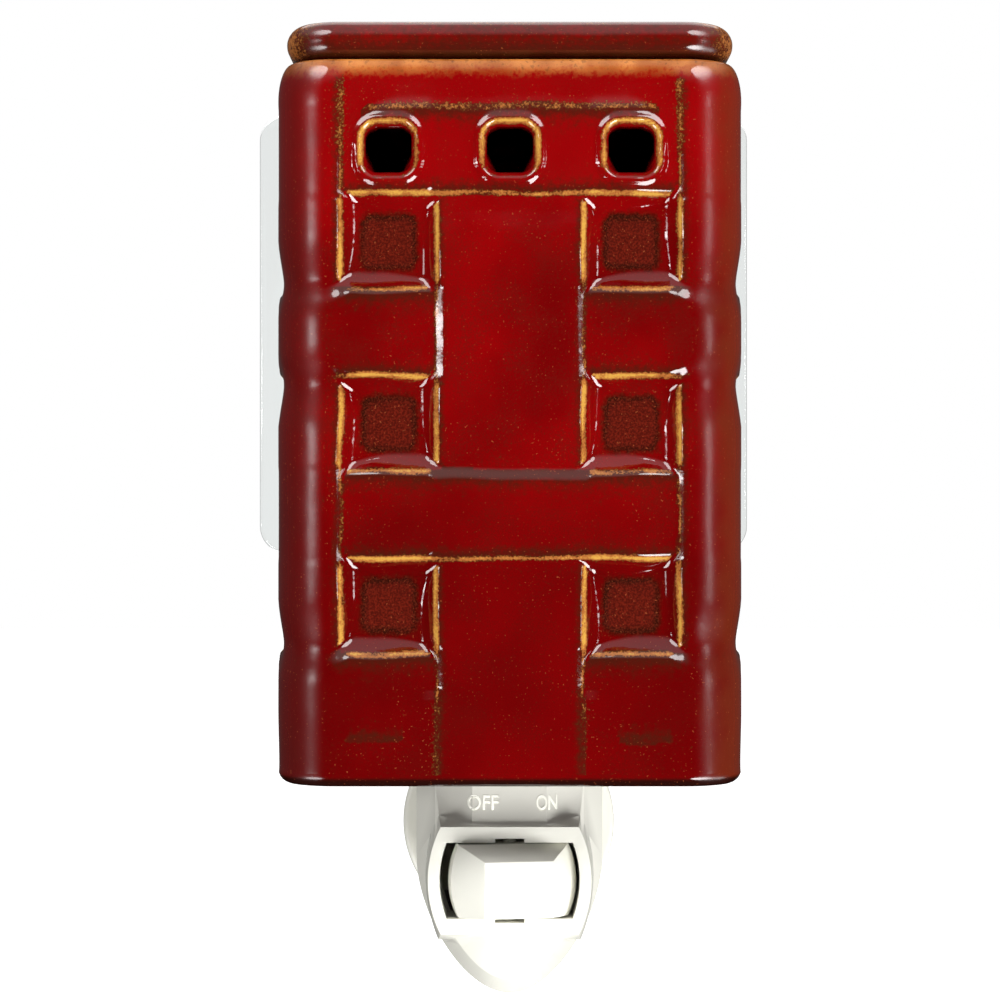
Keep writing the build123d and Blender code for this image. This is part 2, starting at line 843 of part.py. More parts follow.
with BuildPart() as plug_disc:
    with BuildSketch(Plane.XZ):
        Circle(plug_flange_r)
    extrude(amount=plug_flange_t)
    fillet(plug_disc.edges(), plug_flange_round)
    with BuildSketch(Plane.XZ.offset(plug_flange_t)):
        Circle(hub_r)
    extrude(amount=-hub_front - plug_flange_t)
    extrude(blade_slots(Plane.XZ), amount=-hub_front, mode=Mode.SUBTRACT)
    with BuildSketch(Plane.XZ.offset(-hub_front)):
        with Locations(*screw_places):
            Circle(retainer_screw_r + running_fit)
    extrude(amount=-retainer_screw_length, mode=Mode.SUBTRACT)
plug_disc.part.label = "plug_disc"
export_step(plug_disc.part, "parts/plug_disc.step")

with BuildPart() as plug_retainer:
    with BuildSketch(Plane.XZ.offset(-retainer_back)):
        Circle(retainer_r)
        with Locations(*screw_places):
            Circle(retainer_screw_r + running_fit, mode=Mode.SUBTRACT)
    extrude(amount=retainer_t)
    extrude(blade_slots(Plane.XZ.offset(-retainer_back)), amount=retainer_t, mode=Mode.SUBTRACT)
plug_retainer.part.label = "plug_retainer"
export_step(plug_retainer.part, "parts/plug_retainer.step")

with BuildPart() as retainer_screws:
    with BuildSketch(Plane.XZ.offset(-retainer_front)):
        with Locations(*screw_places):
            Circle(retainer_screw_r)
    extrude(amount=-retainer_screw_length)
    with BuildSketch(Plane.XZ.offset(-retainer_front)):
        with Locations(*screw_places):
            Circle(retainer_screw_head_r)
    extrude(amount=retainer_screw_head_t)
retainer_screws.part.label = "retainer_screws"
export_step(retainer_screws.part, "parts/retainer_screws.step")

for name, x, width in blade_places:
    with BuildPart() as blade:
        with BuildSketch(Plane.XZ.offset(-retainer_front)):
            with Locations((x, 0)):
                Rectangle(blade_t, width)
        extrude(amount=-(blade_length - retainer_front))
        chamfer(blade.faces().sort_by(Axis.Y)[-1].edges(), blade_tip_chamfer)
        with BuildSketch(Plane.YZ.offset(x - blade_t)):
            with Locations((blade_hole_set, 0)):
                Circle(blade_hole_r)
        extrude(amount=2 * blade_t, mode=Mode.SUBTRACT)
    blade.part.label = name
    export_step(blade.part, "parts/" + name + ".step")

# Each slip ring has a tab over its blade's inner end
tab_reach = blade_pitch / 2 + blade_t / 2 + ring_tab_margin
tab_start = blade_pitch / 2 - blade_t / 2 - ring_tab_margin
slip_rings = [
    ("line_slip_ring", line_ring_inner, line_ring_outer, (tab_start, line_ring_inner + ring_t)),
    (
        "neutral_slip_ring",
        neutral_ring_inner,
        neutral_ring_outer,
        (-tab_reach, ring_t - neutral_ring_outer),
    ),
]
for name, inner, outer, (tab_from, tab_to) in slip_rings:
    with BuildPart() as slip_ring:
        with BuildSketch(Plane.XZ.offset(-retainer_front)):
            Circle(outer)
            Circle(inner, mode=Mode.SUBTRACT)
            with Locations(((tab_from + tab_to) / 2, 0)):
                Rectangle(tab_to - tab_from, ring_tab)
        extrude(amount=ring_t)
    slip_ring.part.label = name
    export_step(slip_ring.part, "parts/" + name + ".step")


# Lamp socket, with its shell and contacts, and the nut and gasket that hold the shade
lamp_axis = Axis((0, shade_y, 0), (0, 0, 1))
lamp_plane = Plane(origin=(0, shade_y, 0), x_dir=(1, 0, 0), z_dir=(0, -1, 0))
flange_top = neck_top - housing_wall
shell_top = socket_top_z - shell_set_down
shell_bottom = shell_top - shell_height
shell_r = socket_bore_r - shell_radial_gap
neutral_mid = shade_y + shell_r + running_fit + strip_t / 2
neutral_top = shell_bottom + neutral_overlap

with BuildPart() as socket_body:
    with BuildSketch(lamp_plane):
        with BuildLine():
            Polyline(
                (socket_cavity_r, socket_bottom_z),
                (socket_r, socket_bottom_z),
                (socket_r, flange_top - socket_flange_t),
                (socket_flange_r, flange_top - socket_flange_t),
                (socket_flange_r, flange_top),
                (socket_r, flange_top),
                (socket_r, socket_top_z),
                (socket_bore_r, socket_top_z),
                (socket_bore_r, web_top),
                (centre_rivet_r + running_fit, web_top),
                (centre_rivet_r + running_fit, web_bottom),
                (socket_cavity_r, web_bottom),
                close=True,
            )
        make_face()
    revolve(axis=lamp_axis)
    fillet(socket_body.edges().group_by(Axis.Z)[-1].sort_by(SortBy.LENGTH)[-1], socket_top_round)
    # The slot that lets the neutral strip up beside the shell
    slot_deep = shell_r + running_fit + strip_t + slot_gap
    slot_high = neutral_top + slot_gap - web_bottom
    with Locations((0, shade_y + (slot_deep + slot_inner_r) / 2, web_bottom + slot_high / 2)):
        Box(
            neutral_strip_width + 2 * slot_gap,
            slot_deep - slot_inner_r,
            slot_high,
            mode=Mode.SUBTRACT,
        )
socket_body.part.label = "socket_body"
export_step(socket_body.part, "parts/socket_body.step")

with BuildPart() as socket_shell:
    with BuildSketch(Plane.XY.offset(shell_bottom)):
        with Locations((0, shade_y)):
            Circle(shell_r)
            Circle(shell_r - shell_t, mode=Mode.SUBTRACT)
    extrude(amount=shell_height)
socket_shell.part.label = "socket_shell"
export_step(socket_shell.part, "parts/socket_shell.step")

with BuildPart() as socket_centre_contact:
    with BuildSketch(Plane.XY.offset(web_bottom - strip_t)):
        with Locations((0, shade_y)):
            Circle(centre_rivet_r)
    extrude(amount=socket_web + strip_t)
    with BuildSketch(Plane.XY.offset(web_top)):
        with Locations((0, shade_y)):
            Circle(centre_head_r)
    extrude(amount=centre_head_t)
socket_centre_contact.part.label = "socket_centre_contact"
export_step(socket_centre_contact.part, "parts/socket_centre_contact.step")

neutral_route = [
    (leaf_mid, neutral_leaf_top),
    (leaf_mid, neutral_run),
    (neutral_mid, neutral_run),
    (neutral_mid, neutral_top),
]
neutral_contact_strip = bent_strip(neutral_route, neutral_strip_width)
neutral_contact_strip.label = "neutral_contact_strip"
export_step(neutral_contact_strip, "parts/neutral_contact_strip.step")

with BuildPart() as shade_gasket:
    with BuildSketch(Plane.XY.offset(neck_top)):
        with Locations((0, shade_y)):
            Circle(gasket_r)
            Circle(socket_r + gasket_bore_gap, mode=Mode.SUBTRACT)
    extrude(amount=gasket_t)
shade_gasket.part.label = "shade_gasket"
export_step(shade_gasket.part, "parts/shade_gasket.step")

with BuildPart() as collar_nut:
    with BuildSketch(Plane.XY.offset(shade_z + shade_floor)):
        with Locations((0, shade_y)):
            Circle(nut_r)
            Circle(socket_r + fit, mode=Mode.SUBTRACT)
            with PolarLocations(nut_r, nut_notches):
                Circle(nut_notch_r, mode=Mode.SUBTRACT)
    extrude(amount=nut_t)
collar_nut.part.label = "collar_nut"
export_step(collar_nut.part, "parts/collar_nut.step")


# Bulb, its pieces named upwards from the contact at its foot
bulb_foot = web_top + centre_head_t + moving_gap
insulator_low = bulb_foot + bulb_tip_height
cap_low = insulator_low + cap_insulator_height
cap_top = cap_low + cap_height
neck_low = cap_top - neck_glass_depth
belly_z = bulb_foot + bulb_belly
bulb_top = bulb_foot + bulb_length
stem_top = cap_top + stem_height


def turned(points):
    """A solid turned round the lamp's axis from a closed outline of radii and heights."""
    with BuildPart() as piece:
        with BuildSketch(lamp_plane):
            with BuildLine():
                Polyline(*points, close=True)
            make_face()
        revolve(axis=lamp_axis)
    return piece.part


def glass_side(inset):
    """The bulb's side as a curve from its neck to its crown."""
    neck = neck_glass_r - inset
    belly = bulb_max_r - inset
    crown = bulb_top - inset
    with BuildLine() as side:
        Line((neck, neck_low), (neck, cap_top))
        neck_handle = (neck, cap_top + neck_pull)
        belly_low_handle = (belly, belly_z - belly_pull)
        belly_high_handle = (belly, belly_z + belly_pull)
        Bezier((neck, cap_top), neck_handle, belly_low_handle, (belly, belly_z))
        Bezier((belly, belly_z), belly_high_handle, (crown_pull, crown), (0, crown))
    return side.line


with BuildPart() as bulb_glass:
    with BuildSketch(lamp_plane):
        with BuildLine():
            add(glass_side(0))
            add(glass_side(bulb_glass_t))
            Line((0, bulb_top - bulb_glass_t), (0, bulb_top))
            Line((neck_glass_r - bulb_glass_t, neck_low), (neck_glass_r, neck_low))
        make_face()
    revolve(axis=lamp_axis)
bulb_glass.part.label = "bulb_glass"
export_step(bulb_glass.part, "parts/bulb_glass.step")

turned_pieces = {
    "bulb_cap": [
        (cap_r - cap_wall, cap_low),
        (cap_r, cap_low),
        (cap_r, cap_top),
        (cap_r - cap_wall, cap_top),
    ],
    "bulb_insulator": [
        (0, insulator_low),
        (cap_insulator_r, insulator_low),
        (cap_r, cap_low),
        (0, cap_low),
    ],
    "bulb_tip": [
        (0, bulb_foot),
        (bulb_tip_r, bulb_foot),
        (bulb_tip_r, insulator_low),
        (0, insulator_low),
    ],
    "bulb_stem": [
        (0, neck_low),
        (neck_glass_r - bulb_glass_t - fit, neck_low),
        (neck_glass_r - bulb_glass_t - fit, neck_low + stem_disc_t),
        (stem_r, neck_low + stem_disc_t),
        (stem_r, stem_top),
        (0, stem_top),
    ],
}
for name, points in turned_pieces.items():
    piece = turned(points)
    piece.label = name
    export_step(piece, "parts/" + name + ".step")

with BuildPart() as bulb_filament:
    with BuildSketch(Plane.XY.offset(stem_top)):
        with Locations((-lead_foot, shade_y), (lead_foot, shade_y)):
            Circle(lead_r)
    extrude(amount=lead_height)
    with BuildSketch(Plane.YZ.offset(-lead_foot)):
        with Locations((shade_y, stem_top + lead_height)):
            Circle(lead_r)
    extrude(amount=2 * lead_foot)
bulb_filament.part.label = "bulb_filament"
export_step(bulb_filament.part, "parts/bulb_filament.step")
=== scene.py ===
# %% [markdown]
# This lesson dresses a plug-in wax melt warmer. A red glazed ceramic shade with a basket
# weave in relief stands on a small white switched base, a glazed dish lies on top, and a
# clear plate behind keeps it off the wall. The construction arrives as a fixed frame of
# solid pieces in metres. Here they get their soft glazed edges and their finishes.

# %% The frame
import json
import math

import bmesh
import bpy
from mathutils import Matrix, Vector, noise


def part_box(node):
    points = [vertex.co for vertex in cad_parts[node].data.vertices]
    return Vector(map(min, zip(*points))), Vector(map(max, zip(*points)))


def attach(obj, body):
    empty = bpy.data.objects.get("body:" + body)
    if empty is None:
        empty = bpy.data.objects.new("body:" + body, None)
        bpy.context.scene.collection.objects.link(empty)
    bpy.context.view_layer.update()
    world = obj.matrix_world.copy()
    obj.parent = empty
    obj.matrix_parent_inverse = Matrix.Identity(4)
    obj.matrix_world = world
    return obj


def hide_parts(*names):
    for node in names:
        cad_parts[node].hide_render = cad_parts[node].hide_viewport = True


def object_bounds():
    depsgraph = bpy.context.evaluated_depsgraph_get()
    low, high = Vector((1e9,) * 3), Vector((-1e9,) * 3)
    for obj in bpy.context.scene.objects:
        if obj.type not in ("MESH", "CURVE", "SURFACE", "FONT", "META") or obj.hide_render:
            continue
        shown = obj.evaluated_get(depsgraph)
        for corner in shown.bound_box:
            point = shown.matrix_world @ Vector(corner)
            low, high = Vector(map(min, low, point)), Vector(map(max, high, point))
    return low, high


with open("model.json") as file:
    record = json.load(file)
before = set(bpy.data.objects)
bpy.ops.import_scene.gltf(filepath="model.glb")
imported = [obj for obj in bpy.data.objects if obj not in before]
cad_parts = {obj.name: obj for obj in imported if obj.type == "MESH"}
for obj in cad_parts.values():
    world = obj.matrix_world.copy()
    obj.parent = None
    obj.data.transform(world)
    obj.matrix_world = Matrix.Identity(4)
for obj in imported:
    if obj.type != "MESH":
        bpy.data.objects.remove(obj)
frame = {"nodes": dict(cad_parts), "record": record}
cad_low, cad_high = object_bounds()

MM = 0.001
nodes = frame["nodes"]
size = cad_high - cad_low
print(f"{len(nodes)} pieces, {size.x / MM:.1f} x {size.y / MM:.1f} x {size.z / MM:.1f} mm")

# %% [markdown]
# The camera comes first, because everything is judged through it. The photograph looks
# straight at the front from about half a metre, level with the middle of the shade. A long
# lens at that distance gives the same slight perspective.

# %% Camera
CAMERA_PLACE = (-1.65 * MM, -521.4 * MM, 60.9 * MM)
CAMERA_LENS = 98.2
CAMERA_SENSOR = 36

lens = bpy.data.cameras.new("photo_view")
lens.lens = CAMERA_LENS
lens.sensor_width = CAMERA_SENSOR
camera = bpy.data.objects.new("photo_view", lens)
camera.location = CAMERA_PLACE
camera.rotation_euler = (math.radians(90), 0, 0)
bpy.context.scene.collection.objects.link(camera)
bpy.context.scene.camera = camera
print("camera stands", -CAMERA_PLACE[1] / MM, "mm before the wall")

# %% [markdown]
# Finishes are written as maths on values that change over the surface. A small class
# wraps a shader socket, so that a sum of masks reads as a sum, and one method adds any
# other node. What is the same all over stays a plain number on the shader.

# %% Shader words
class Wire:
    """A number that changes over a surface, which sums and products can use."""

    def __init__(self, wiring, socket):
        self.wiring = wiring
        self.socket = socket

    def __add__(self, other):
        return self.wiring.maths("ADD", self, other)

    def __sub__(self, other):
        return self.wiring.maths("SUBTRACT", self, other)

    def __rsub__(self, other):
        return self.wiring.maths("SUBTRACT", other, self)

    def __mul__(self, other):
        return self.wiring.maths("MULTIPLY", self, other)

    __radd__ = __add__
    __rmul__ = __mul__

    def between(self, low, high):
        """A mask that rises smoothly from 0 at low to 1 at high."""
        settings = {"interpolation_type": "SMOOTHSTEP"}
        return self.wiring.add("ShaderNodeMapRange", settings, {0: self, 1: low, 2: high})


class Wiring:
    """A node tree in the making."""

    def __init__(self, tree):
        self.tree = tree

    def add(self, kind, settings, inputs, output=0):
        """Adds a node, sets it up, connects its inputs and returns one output."""
        node = self.tree.nodes.new(kind)
        for key, value in settings.items():
            setattr(node, key, value)
        for key, value in inputs.items():
            self.connect(node.inputs[key], value)
        return Wire(self, node.outputs[output])

    def connect(self, socket, value):
        """Links a wire to a socket, or sets the socket to a plain value."""
        if isinstance(value, Wire):
            self.tree.links.new(value.socket, socket)
        else:
            socket.default_value = value

    def maths(self, operation, *values):
        """A Math node on one or two numbers."""
        return self.add("ShaderNodeMath", {"operation": operation}, dict(enumerate(values)))


print("wires and wiring ready")

# %% [markdown]
# Every finish here is one principled shader. The same few nodes come back in each: cloudy
# noise, a number from the mesh, a place in millimetres and a mix of two colours, so each has
# a method. All of it reads Object coordinates, which stay with the piece when it moves. The
# Mix node's sockets go by number, because their names repeat.

# %% Finishes in the making
MIX_FACTOR, MIX_A, MIX_B, MIX_RESULT = 0, 6, 7, 2


class Finish(Wiring):
    """A material in the making, with the usual nodes at hand."""

    def __init__(self, name):
        self.material = bpy.data.materials.new(name)
        self.material.use_nodes = True
        super().__init__(self.material.node_tree)
        self.shader = self.tree.nodes["Principled BSDF"]
        self.place = self.add("ShaderNodeTexCoord", {}, {}, "Object")

    def noise(self, grain, detail=2.0, roughness=0.5):
        """Cloudy noise whose patches are about this many metres wide."""
        inputs = {
            "Vector": self.place,
            "Scale": 1 / grain,
            "Detail": detail,
            "Roughness": roughness,
        }
        return self.add("ShaderNodeTexNoise", {}, inputs, "Fac")

    def attribute(self, name):
        """A number that was stored on the mesh's points."""
        return self.add("ShaderNodeAttribute", {"attribute_name": name}, {}, "Fac")

    def along(self, axis):
        """How far along an axis a point lies, in millimetres."""
        return self.add("ShaderNodeSeparateXYZ", {}, {"Vector": self.place}, axis) * (1 / MM)

    def mix(self, mask, first, second):
        """One colour where the mask is 0 and the other where it is 1."""
        inputs = {MIX_FACTOR: mask, MIX_A: first, MIX_B: second}
        return self.add("ShaderNodeMix", {"data_type": "RGBA"}, inputs, MIX_RESULT)

    def set(self, **values):
        """Sets the shader's sockets, by their names with underscores for spaces."""
        for key, value in values.items():
            self.connect(self.shader.inputs[key.replace("_", " ")], value)
        return self.material


def rgb(red, green, blue):
    """A colour with full alpha, in linear light."""
    return (red, green, blue, 1.0)


print("finishes can be mixed")

# %% [markdown]
# A glaze shows its shape only by what it mirrors, so the lights are placed by what they draw.
# Three small lights at each side stand at the heights that the three rows of windows mirror,
# and draw white streaks down the window walls. A wider one at the left draws the broad
# streak on the middle strip. Large boxes high and low in front put hooks into the windows'
# corners, and the low ones whiten the base. One more lights the back.

# %% Lights
AIM = Vector((0, -0.04, 0.05))
STREAKS = {"left": (-0.72, 7.0), "right": (0.70, 10.0)}
STREAK_HEIGHTS = (190 * MM, 100 * MM, 11 * MM)
STREAK_SIZE = (0.15, 0.05)
STREAK_FRONT = -0.62
FLASH_PLACE = Vector((-0.62, -0.62, 0.125))
FLASH_AIM = Vector((0, -0.04, 0.09))
FLASH_SIZE = (0.2, 0.06)
FLASH_RADIANCE = 17.0


def soft_light(name, place, aim, size, radiance):
    """An oval light at a place, turned to face another, this bright in a mirror."""
    width, height = size
    data = bpy.data.lights.new(name, "AREA")
    data.shape = "ELLIPSE"
    data.size = width
    data.size_y = height
    data.energy = radiance * math.pi * math.pi / 4 * width * height
    light = bpy.data.objects.new(name, data)
    light.location = place
    light.rotation_mode = "QUATERNION"
    light.rotation_quaternion = (aim - place).to_track_quat("-Z", "Y")
    bpy.context.scene.collection.objects.link(light)


def soft_box(name, azimuth, elevation, distance, size, radiance):
    """A light round the object: azimuth 0 is in front and 90 to its right, in degrees."""
    turn, lift = math.radians(azimuth), math.radians(elevation)
    flat = distance * math.cos(lift)
    way = Vector((flat * math.sin(turn), -flat * math.cos(turn), distance * math.sin(lift)))
    soft_light(name, AIM + way, AIM, size, radiance)


for side, (across, radiance) in STREAKS.items():
    for row, height in enumerate(STREAK_HEIGHTS):
        place = Vector((across, STREAK_FRONT, height))
        soft_light(f"{side}_streak_{row}", place, Vector((0, AIM.y, height)), STREAK_SIZE, radiance)
soft_light("left_flash", FLASH_PLACE, FLASH_AIM, FLASH_SIZE, FLASH_RADIANCE)
soft_box("high_right", 42, 44, 0.95, (0.55, 0.42), 10.0)
soft_box("high_left", -44, 46, 0.95, (0.5, 0.42), 9.0)
soft_box("low_right", 40, -38, 0.9, (0.55, 0.4), 18.0)
soft_box("low_side", 80, -36, 0.9, (0.45, 0.35), 4.0)
soft_box("low_left", -50, -35, 0.9, (0.45, 0.33), 12.0)
soft_box("rear", 180, 55, 0.9, (0.9, 0.75), 1.5)
print("lights:", [light.name for light in bpy.data.lights])

# %% [markdown]
# The camera sees white all round, as in the photograph, and so does a ray through the clear
# plate. The glaze mirrors a much dimmer world: pale overhead, faint behind and dark in front
# and below. That keeps the flat strips deep red, and lays a haze on slopes that face up and
# along both outlines. Only a ray's kind and its way decide what it sees.

# %% The world
OVERHEAD = 0.8
OVERHEAD_RISE = (0.35, 0.8)
OVERHEAD_BEHIND = (0.1, 0.6)
OVERHEAD_BEHIND_LOSS = 0.6
BEHIND = 0.06
BEHIND_TURN = (-0.15, 0.35)
HORIZON_RISE = (-0.45, 0.05)
PLATE_WHITE = 0.6
PLATE_WHITE_GAIN = 0.3
PLATE_AHEAD = (0.8, 0.97)

world = bpy.data.worlds.new("tent")
world.use_nodes = True
tent = Wiring(world.node_tree)
way = tent.add("ShaderNodeTexCoord", {}, {}, "Generated")
back = tent.add("ShaderNodeSeparateXYZ", {}, {"Vector": way}, "Y")
rise = tent.add("ShaderNodeSeparateXYZ", {}, {"Vector": way}, "Z")
overhead = rise.between(*OVERHEAD_RISE) * OVERHEAD
overhead = overhead * (1 - back.between(*OVERHEAD_BEHIND) * OVERHEAD_BEHIND_LOSS)
mirrored = tent.maths("MAXIMUM", back.between(*BEHIND_TURN) * BEHIND, overhead)
mirrored = mirrored * rise.between(*HORIZON_RISE)
seen = tent.add("ShaderNodeLightPath", {}, {}, "Is Camera Ray")
through_plate = tent.add("ShaderNodeLightPath", {}, {}, "Is Transmission Ray")
through_plate = through_plate * (back.between(*PLATE_AHEAD) * PLATE_WHITE_GAIN + PLATE_WHITE)
white = tent.maths("MAXIMUM", seen, through_plate)
background = world.node_tree.nodes["Background"]
background.inputs["Color"].default_value = (1, 1, 1, 1)
tent.connect(background.inputs["Strength"], tent.maths("MAXIMUM", mirrored, white))
bpy.context.scene.world = world
bpy.context.scene.view_settings.view_transform = "Standard"
print("world:", world.name)

# %% [markdown]
# The floor is a plain pale sheet well below the plug. It isn't mirrored in the glaze, and it
# doesn't stand in the way of the low lights.

# %% The floor
FLOOR_DROP = 80 * MM
FLOOR_HALF = 3.0
PAPER_GRAIN = 0.4

paper = Finish("pale_floor")
paper_tone = paper.noise(PAPER_GRAIN).between(0.3, 0.7)
floor_paint = paper.set(
    Base_Color=paper.mix(paper_tone, rgb(0.86, 0.86, 0.86), rgb(0.9, 0.9, 0.9)),
    Roughness=0.9,
    Emission_Color=rgb(1.0, 1.0, 1.0),
    Emission_Strength=0.75,
)
bm = bmesh.new()
bmesh.ops.create_grid(bm, x_segments=1, y_segments=1, size=FLOOR_HALF)
bmesh.ops.translate(bm, verts=bm.verts, vec=(0, 0, cad_low.z - FLOOR_DROP))
floor_mesh = bpy.data.meshes.new("studio_floor")
bm.to_mesh(floor_mesh)
bm.free()
floor_mesh.materials.append(floor_paint)
studio_floor = bpy.data.objects.new("studio_floor", floor_mesh)
bpy.context.scene.collection.objects.link(studio_floor)
studio_floor.visible_glossy = False
studio_floor.visible_diffuse = False
studio_floor.visible_shadow = False
print("floor", round(FLOOR_DROP / MM), "mm below the object")

# %% [markdown]
# The glaze is a clear glass coloured red. It pools in hollows, where it is deep and even,
# and runs thin on sharp edges, where the clay and iron below turn it amber. Beside the
# edges it breaks into brown mottles. The mesh carries three numbers that say where each
# happens: crest, brown and floor. A floor of 1 is the dark matt bottom of a window, and a
# negative one is the foot's round, painted near-black as shade. The rest goes by the place
# on the piece, in millimetres: painted shade deepens the red low down, painted light
# brightens the rim, the lip is orange, painted shade in plum lies towards the left front
# corner and painted light in rust towards the right one, and the front corners have a
# softer gloss. Noise shifts most borders.

# %% Glaze colours
DEEP_RED = rgb(0.115, 0.0006, 0.001)
CLEAR_RED = rgb(0.205, 0.001, 0.0015)
GRAINY_RED = rgb(0.1, 0.005, 0.003)
PAINTED_SHADE_RED = rgb(0.075, 0.0005, 0.0008)
PAINTED_LIGHT_RIM_RED = rgb(0.27, 0.001, 0.002)
LIP_RUST = rgb(0.36, 0.105, 0.02)
LIP_ORANGE = rgb(0.62, 0.225, 0.05)
LIP_FLECK = rgb(0.11, 0.032, 0.008)
PAINTED_SHADE_PLUM = rgb(0.075, 0.006, 0.005)
PAINTED_LIGHT_RUST = rgb(0.13, 0.02, 0.005)
BROWN = rgb(0.045, 0.007, 0.003)
IRON = rgb(0.06, 0.02, 0.005)
AMBER = rgb(0.34, 0.11, 0.026)
GOLD = rgb(0.56, 0.3, 0.055)
WINDOW_RED = rgb(0.055, 0.004, 0.002)
WINDOW_SPECK = rgb(0.115, 0.009, 0.004)
WINDOW_RING = rgb(0.022, 0.003, 0.001)
WINDOW_RING_SPECK = rgb(0.075, 0.012, 0.005)
PAINTED_SHADE_FOOT = rgb(0.016, 0.003, 0.002)
SPARK = rgb(0.36, 0.09, 0.03)

# Where the tones lie, and the noise's shifts.
PAINTED_SHADE_Z = (50.0, 88.0)
PAINTED_SHADE_SHIFT = 14.0
PAINTED_SHADE_STRENGTH = 0.55
PAINTED_LIGHT_RIM_Z = (106.0, 124.0)
PAINTED_LIGHT_RIM_SHIFT = 12.0
LIP_Z = 130.6
LIP_RUN = 3.2
LIP_SHIFT = 3.0
NO_LIP = 200.0
PAINTED_SHADE_PLUM_X = (33.0, 40.0)
PAINTED_SHADE_PLUM_SHIFT = 6.0
PAINTED_LIGHT_RUST_X = (35.0, 42.0)
PAINTED_LIGHT_RUST_SHIFT = 8.0
PAINTED_SIDES_FORWARD = (42.0, 60.0)
PAINTED_SIDES_BEHIND = 0.15
PAINTED_SIDES_GAIN = 0.45
CORNER_X = (29.5, 32.5)
CORNER_FORWARD = (64.0, 69.0)
GLOSS = 0.06
FLOOR_GLOSS_LOSS = 0.12
BROWN_GLOSS_LOSS = 0.05
CORNER_GLOSS_LOSS = 0.2
WAVE_DEPTH = 0.35 * MM
WAVE_STRENGTH = 0.5
RIPPLE = 0.12
print("the lip starts at", LIP_Z, "mm")


# %% Red glaze
class Glaze(Finish):
    """A glaze in the making: the mesh's numbers, three grains, and places in millimetres."""

    def __init__(self, name, warmth):
        super().__init__(name)
        self.patch = self.noise(7 * MM, 2.0)
        self.mottle = self.noise(0.9 * MM, 3.0, 0.65)
        self.speck = self.noise(0.35 * MM, 2.0, 0.6)
        self.across = self.along("X")
        self.forward = self.along("Y") * -1
        self.height = self.along("Z")
        self.floor = self.attribute("floor")
        brown = self.attribute("brown") + (self.mottle - 0.5) * 1.1 + warmth
        self.brown_mask = brown.between(0.2, 1.0) * 0.85
        self.floor_mask = (self.floor + (self.mottle - 0.5) * 0.6).between(0.2, 0.72)

    def body(self, lip_z, rim_painted_light):
        """The red, cloudy and grainy, with painted shade low down and painted light at the rim, and
        the lip.
        """
        cloud = self.noise(22 * MM, 3.0)
        red = self.mix(cloud.between(0.3, 0.72), DEEP_RED, CLEAR_RED)
        grain = (self.speck + self.patch * 0.7).between(0.78, 1.02) * 0.5
        red = self.mix(grain, red, GRAINY_RED)
        # Painted shade: the red deepens low down on the piece.
        low = 1 - (self.height + self.patch * PAINTED_SHADE_SHIFT).between(*PAINTED_SHADE_Z)
        red = self.mix(low * PAINTED_SHADE_STRENGTH, red, PAINTED_SHADE_RED)
        # Painted light: the red brightens towards the rim.
        rim = (self.height + self.patch * PAINTED_LIGHT_RIM_SHIFT).between(*PAINTED_LIGHT_RIM_Z)
        red = self.mix(rim * rim_painted_light, red, PAINTED_LIGHT_RIM_RED)
        orange = self.mix(self.patch.between(0.35, 0.65), LIP_RUST, LIP_ORANGE)
        orange = self.mix(self.mottle.between(0.48, 0.72) * 0.65, orange, LIP_FLECK)
        lip = self.height + (self.mottle - 0.5) * LIP_SHIFT
        return self.mix(lip.between(lip_z, lip_z + LIP_RUN), red, orange)

    def painted_side_light(self, red):
        """Painted shade in plum towards the left front corner and painted light in rust towards the
        right one.
        """
        # Painted light and shade on the front corners: plum shade at the left, rust light at the
        # right.
        tint = self.forward.between(*PAINTED_SIDES_FORWARD) * PAINTED_SIDES_GAIN + PAINTED_SIDES_BEHIND
        left = (self.across * -1 + self.patch * PAINTED_SHADE_PLUM_SHIFT).between(*PAINTED_SHADE_PLUM_X)
        red = self.mix(left * tint, red, PAINTED_SHADE_PLUM)
        right = (self.across + self.patch * PAINTED_LIGHT_RUST_SHIFT).between(*PAINTED_LIGHT_RUST_X)
        return self.mix(right * tint, red, PAINTED_LIGHT_RUST)

    def broken(self, red):
        """Brown mottles beside the edges, and iron, amber and gold along them."""
        red = self.mix(self.brown_mask, red, BROWN)
        thick = self.patch.between(0.3, 0.6) * 0.45 + 0.6
        ridge = self.attribute("crest") * thick
        ridge = ridge + (self.mottle - 0.5) * 0.8 + (self.speck - 0.5) * 0.9
        amber = self.mix(ridge.between(0.3, 0.65), IRON, AMBER)
        amber = self.mix(ridge.between(0.65, 1.1), amber, GOLD)
        return self.mix(ridge.between(0.18, 0.5), red, amber)

    def floored(self, red):
        """The windows' dark floors, darkest round their border, and the foot's painted shade."""
        inner = self.mix(self.speck.between(0.4, 0.66), WINDOW_RED, WINDOW_SPECK)
        ring = self.mix(self.speck.between(0.45, 0.7), WINDOW_RING, WINDOW_RING_SPECK)
        centre = self.floor + (self.patch - 0.5) * 0.5 + (self.mottle - 0.5) * 0.4
        matt = self.mix(centre.between(0.55, 1.0), ring, inner)
        red = self.mix(self.floor_mask, red, matt)
        # Painted shade: the foot's round goes near-black.
        return self.mix((self.floor * -1).between(0.2, 1.0), red, PAINTED_SHADE_FOOT)

    def roughness(self):
        """Glossy, but less so on window floors, brown mottles and the front corners."""
        duller = GLOSS + self.floor_mask * FLOOR_GLOSS_LOSS + self.brown_mask * BROWN_GLOSS_LOSS
        beside = self.maths("ABSOLUTE", self.across).between(*CORNER_X)
        corner = beside * self.forward.between(*CORNER_FORWARD)
        return duller + corner * CORNER_GLOSS_LOSS


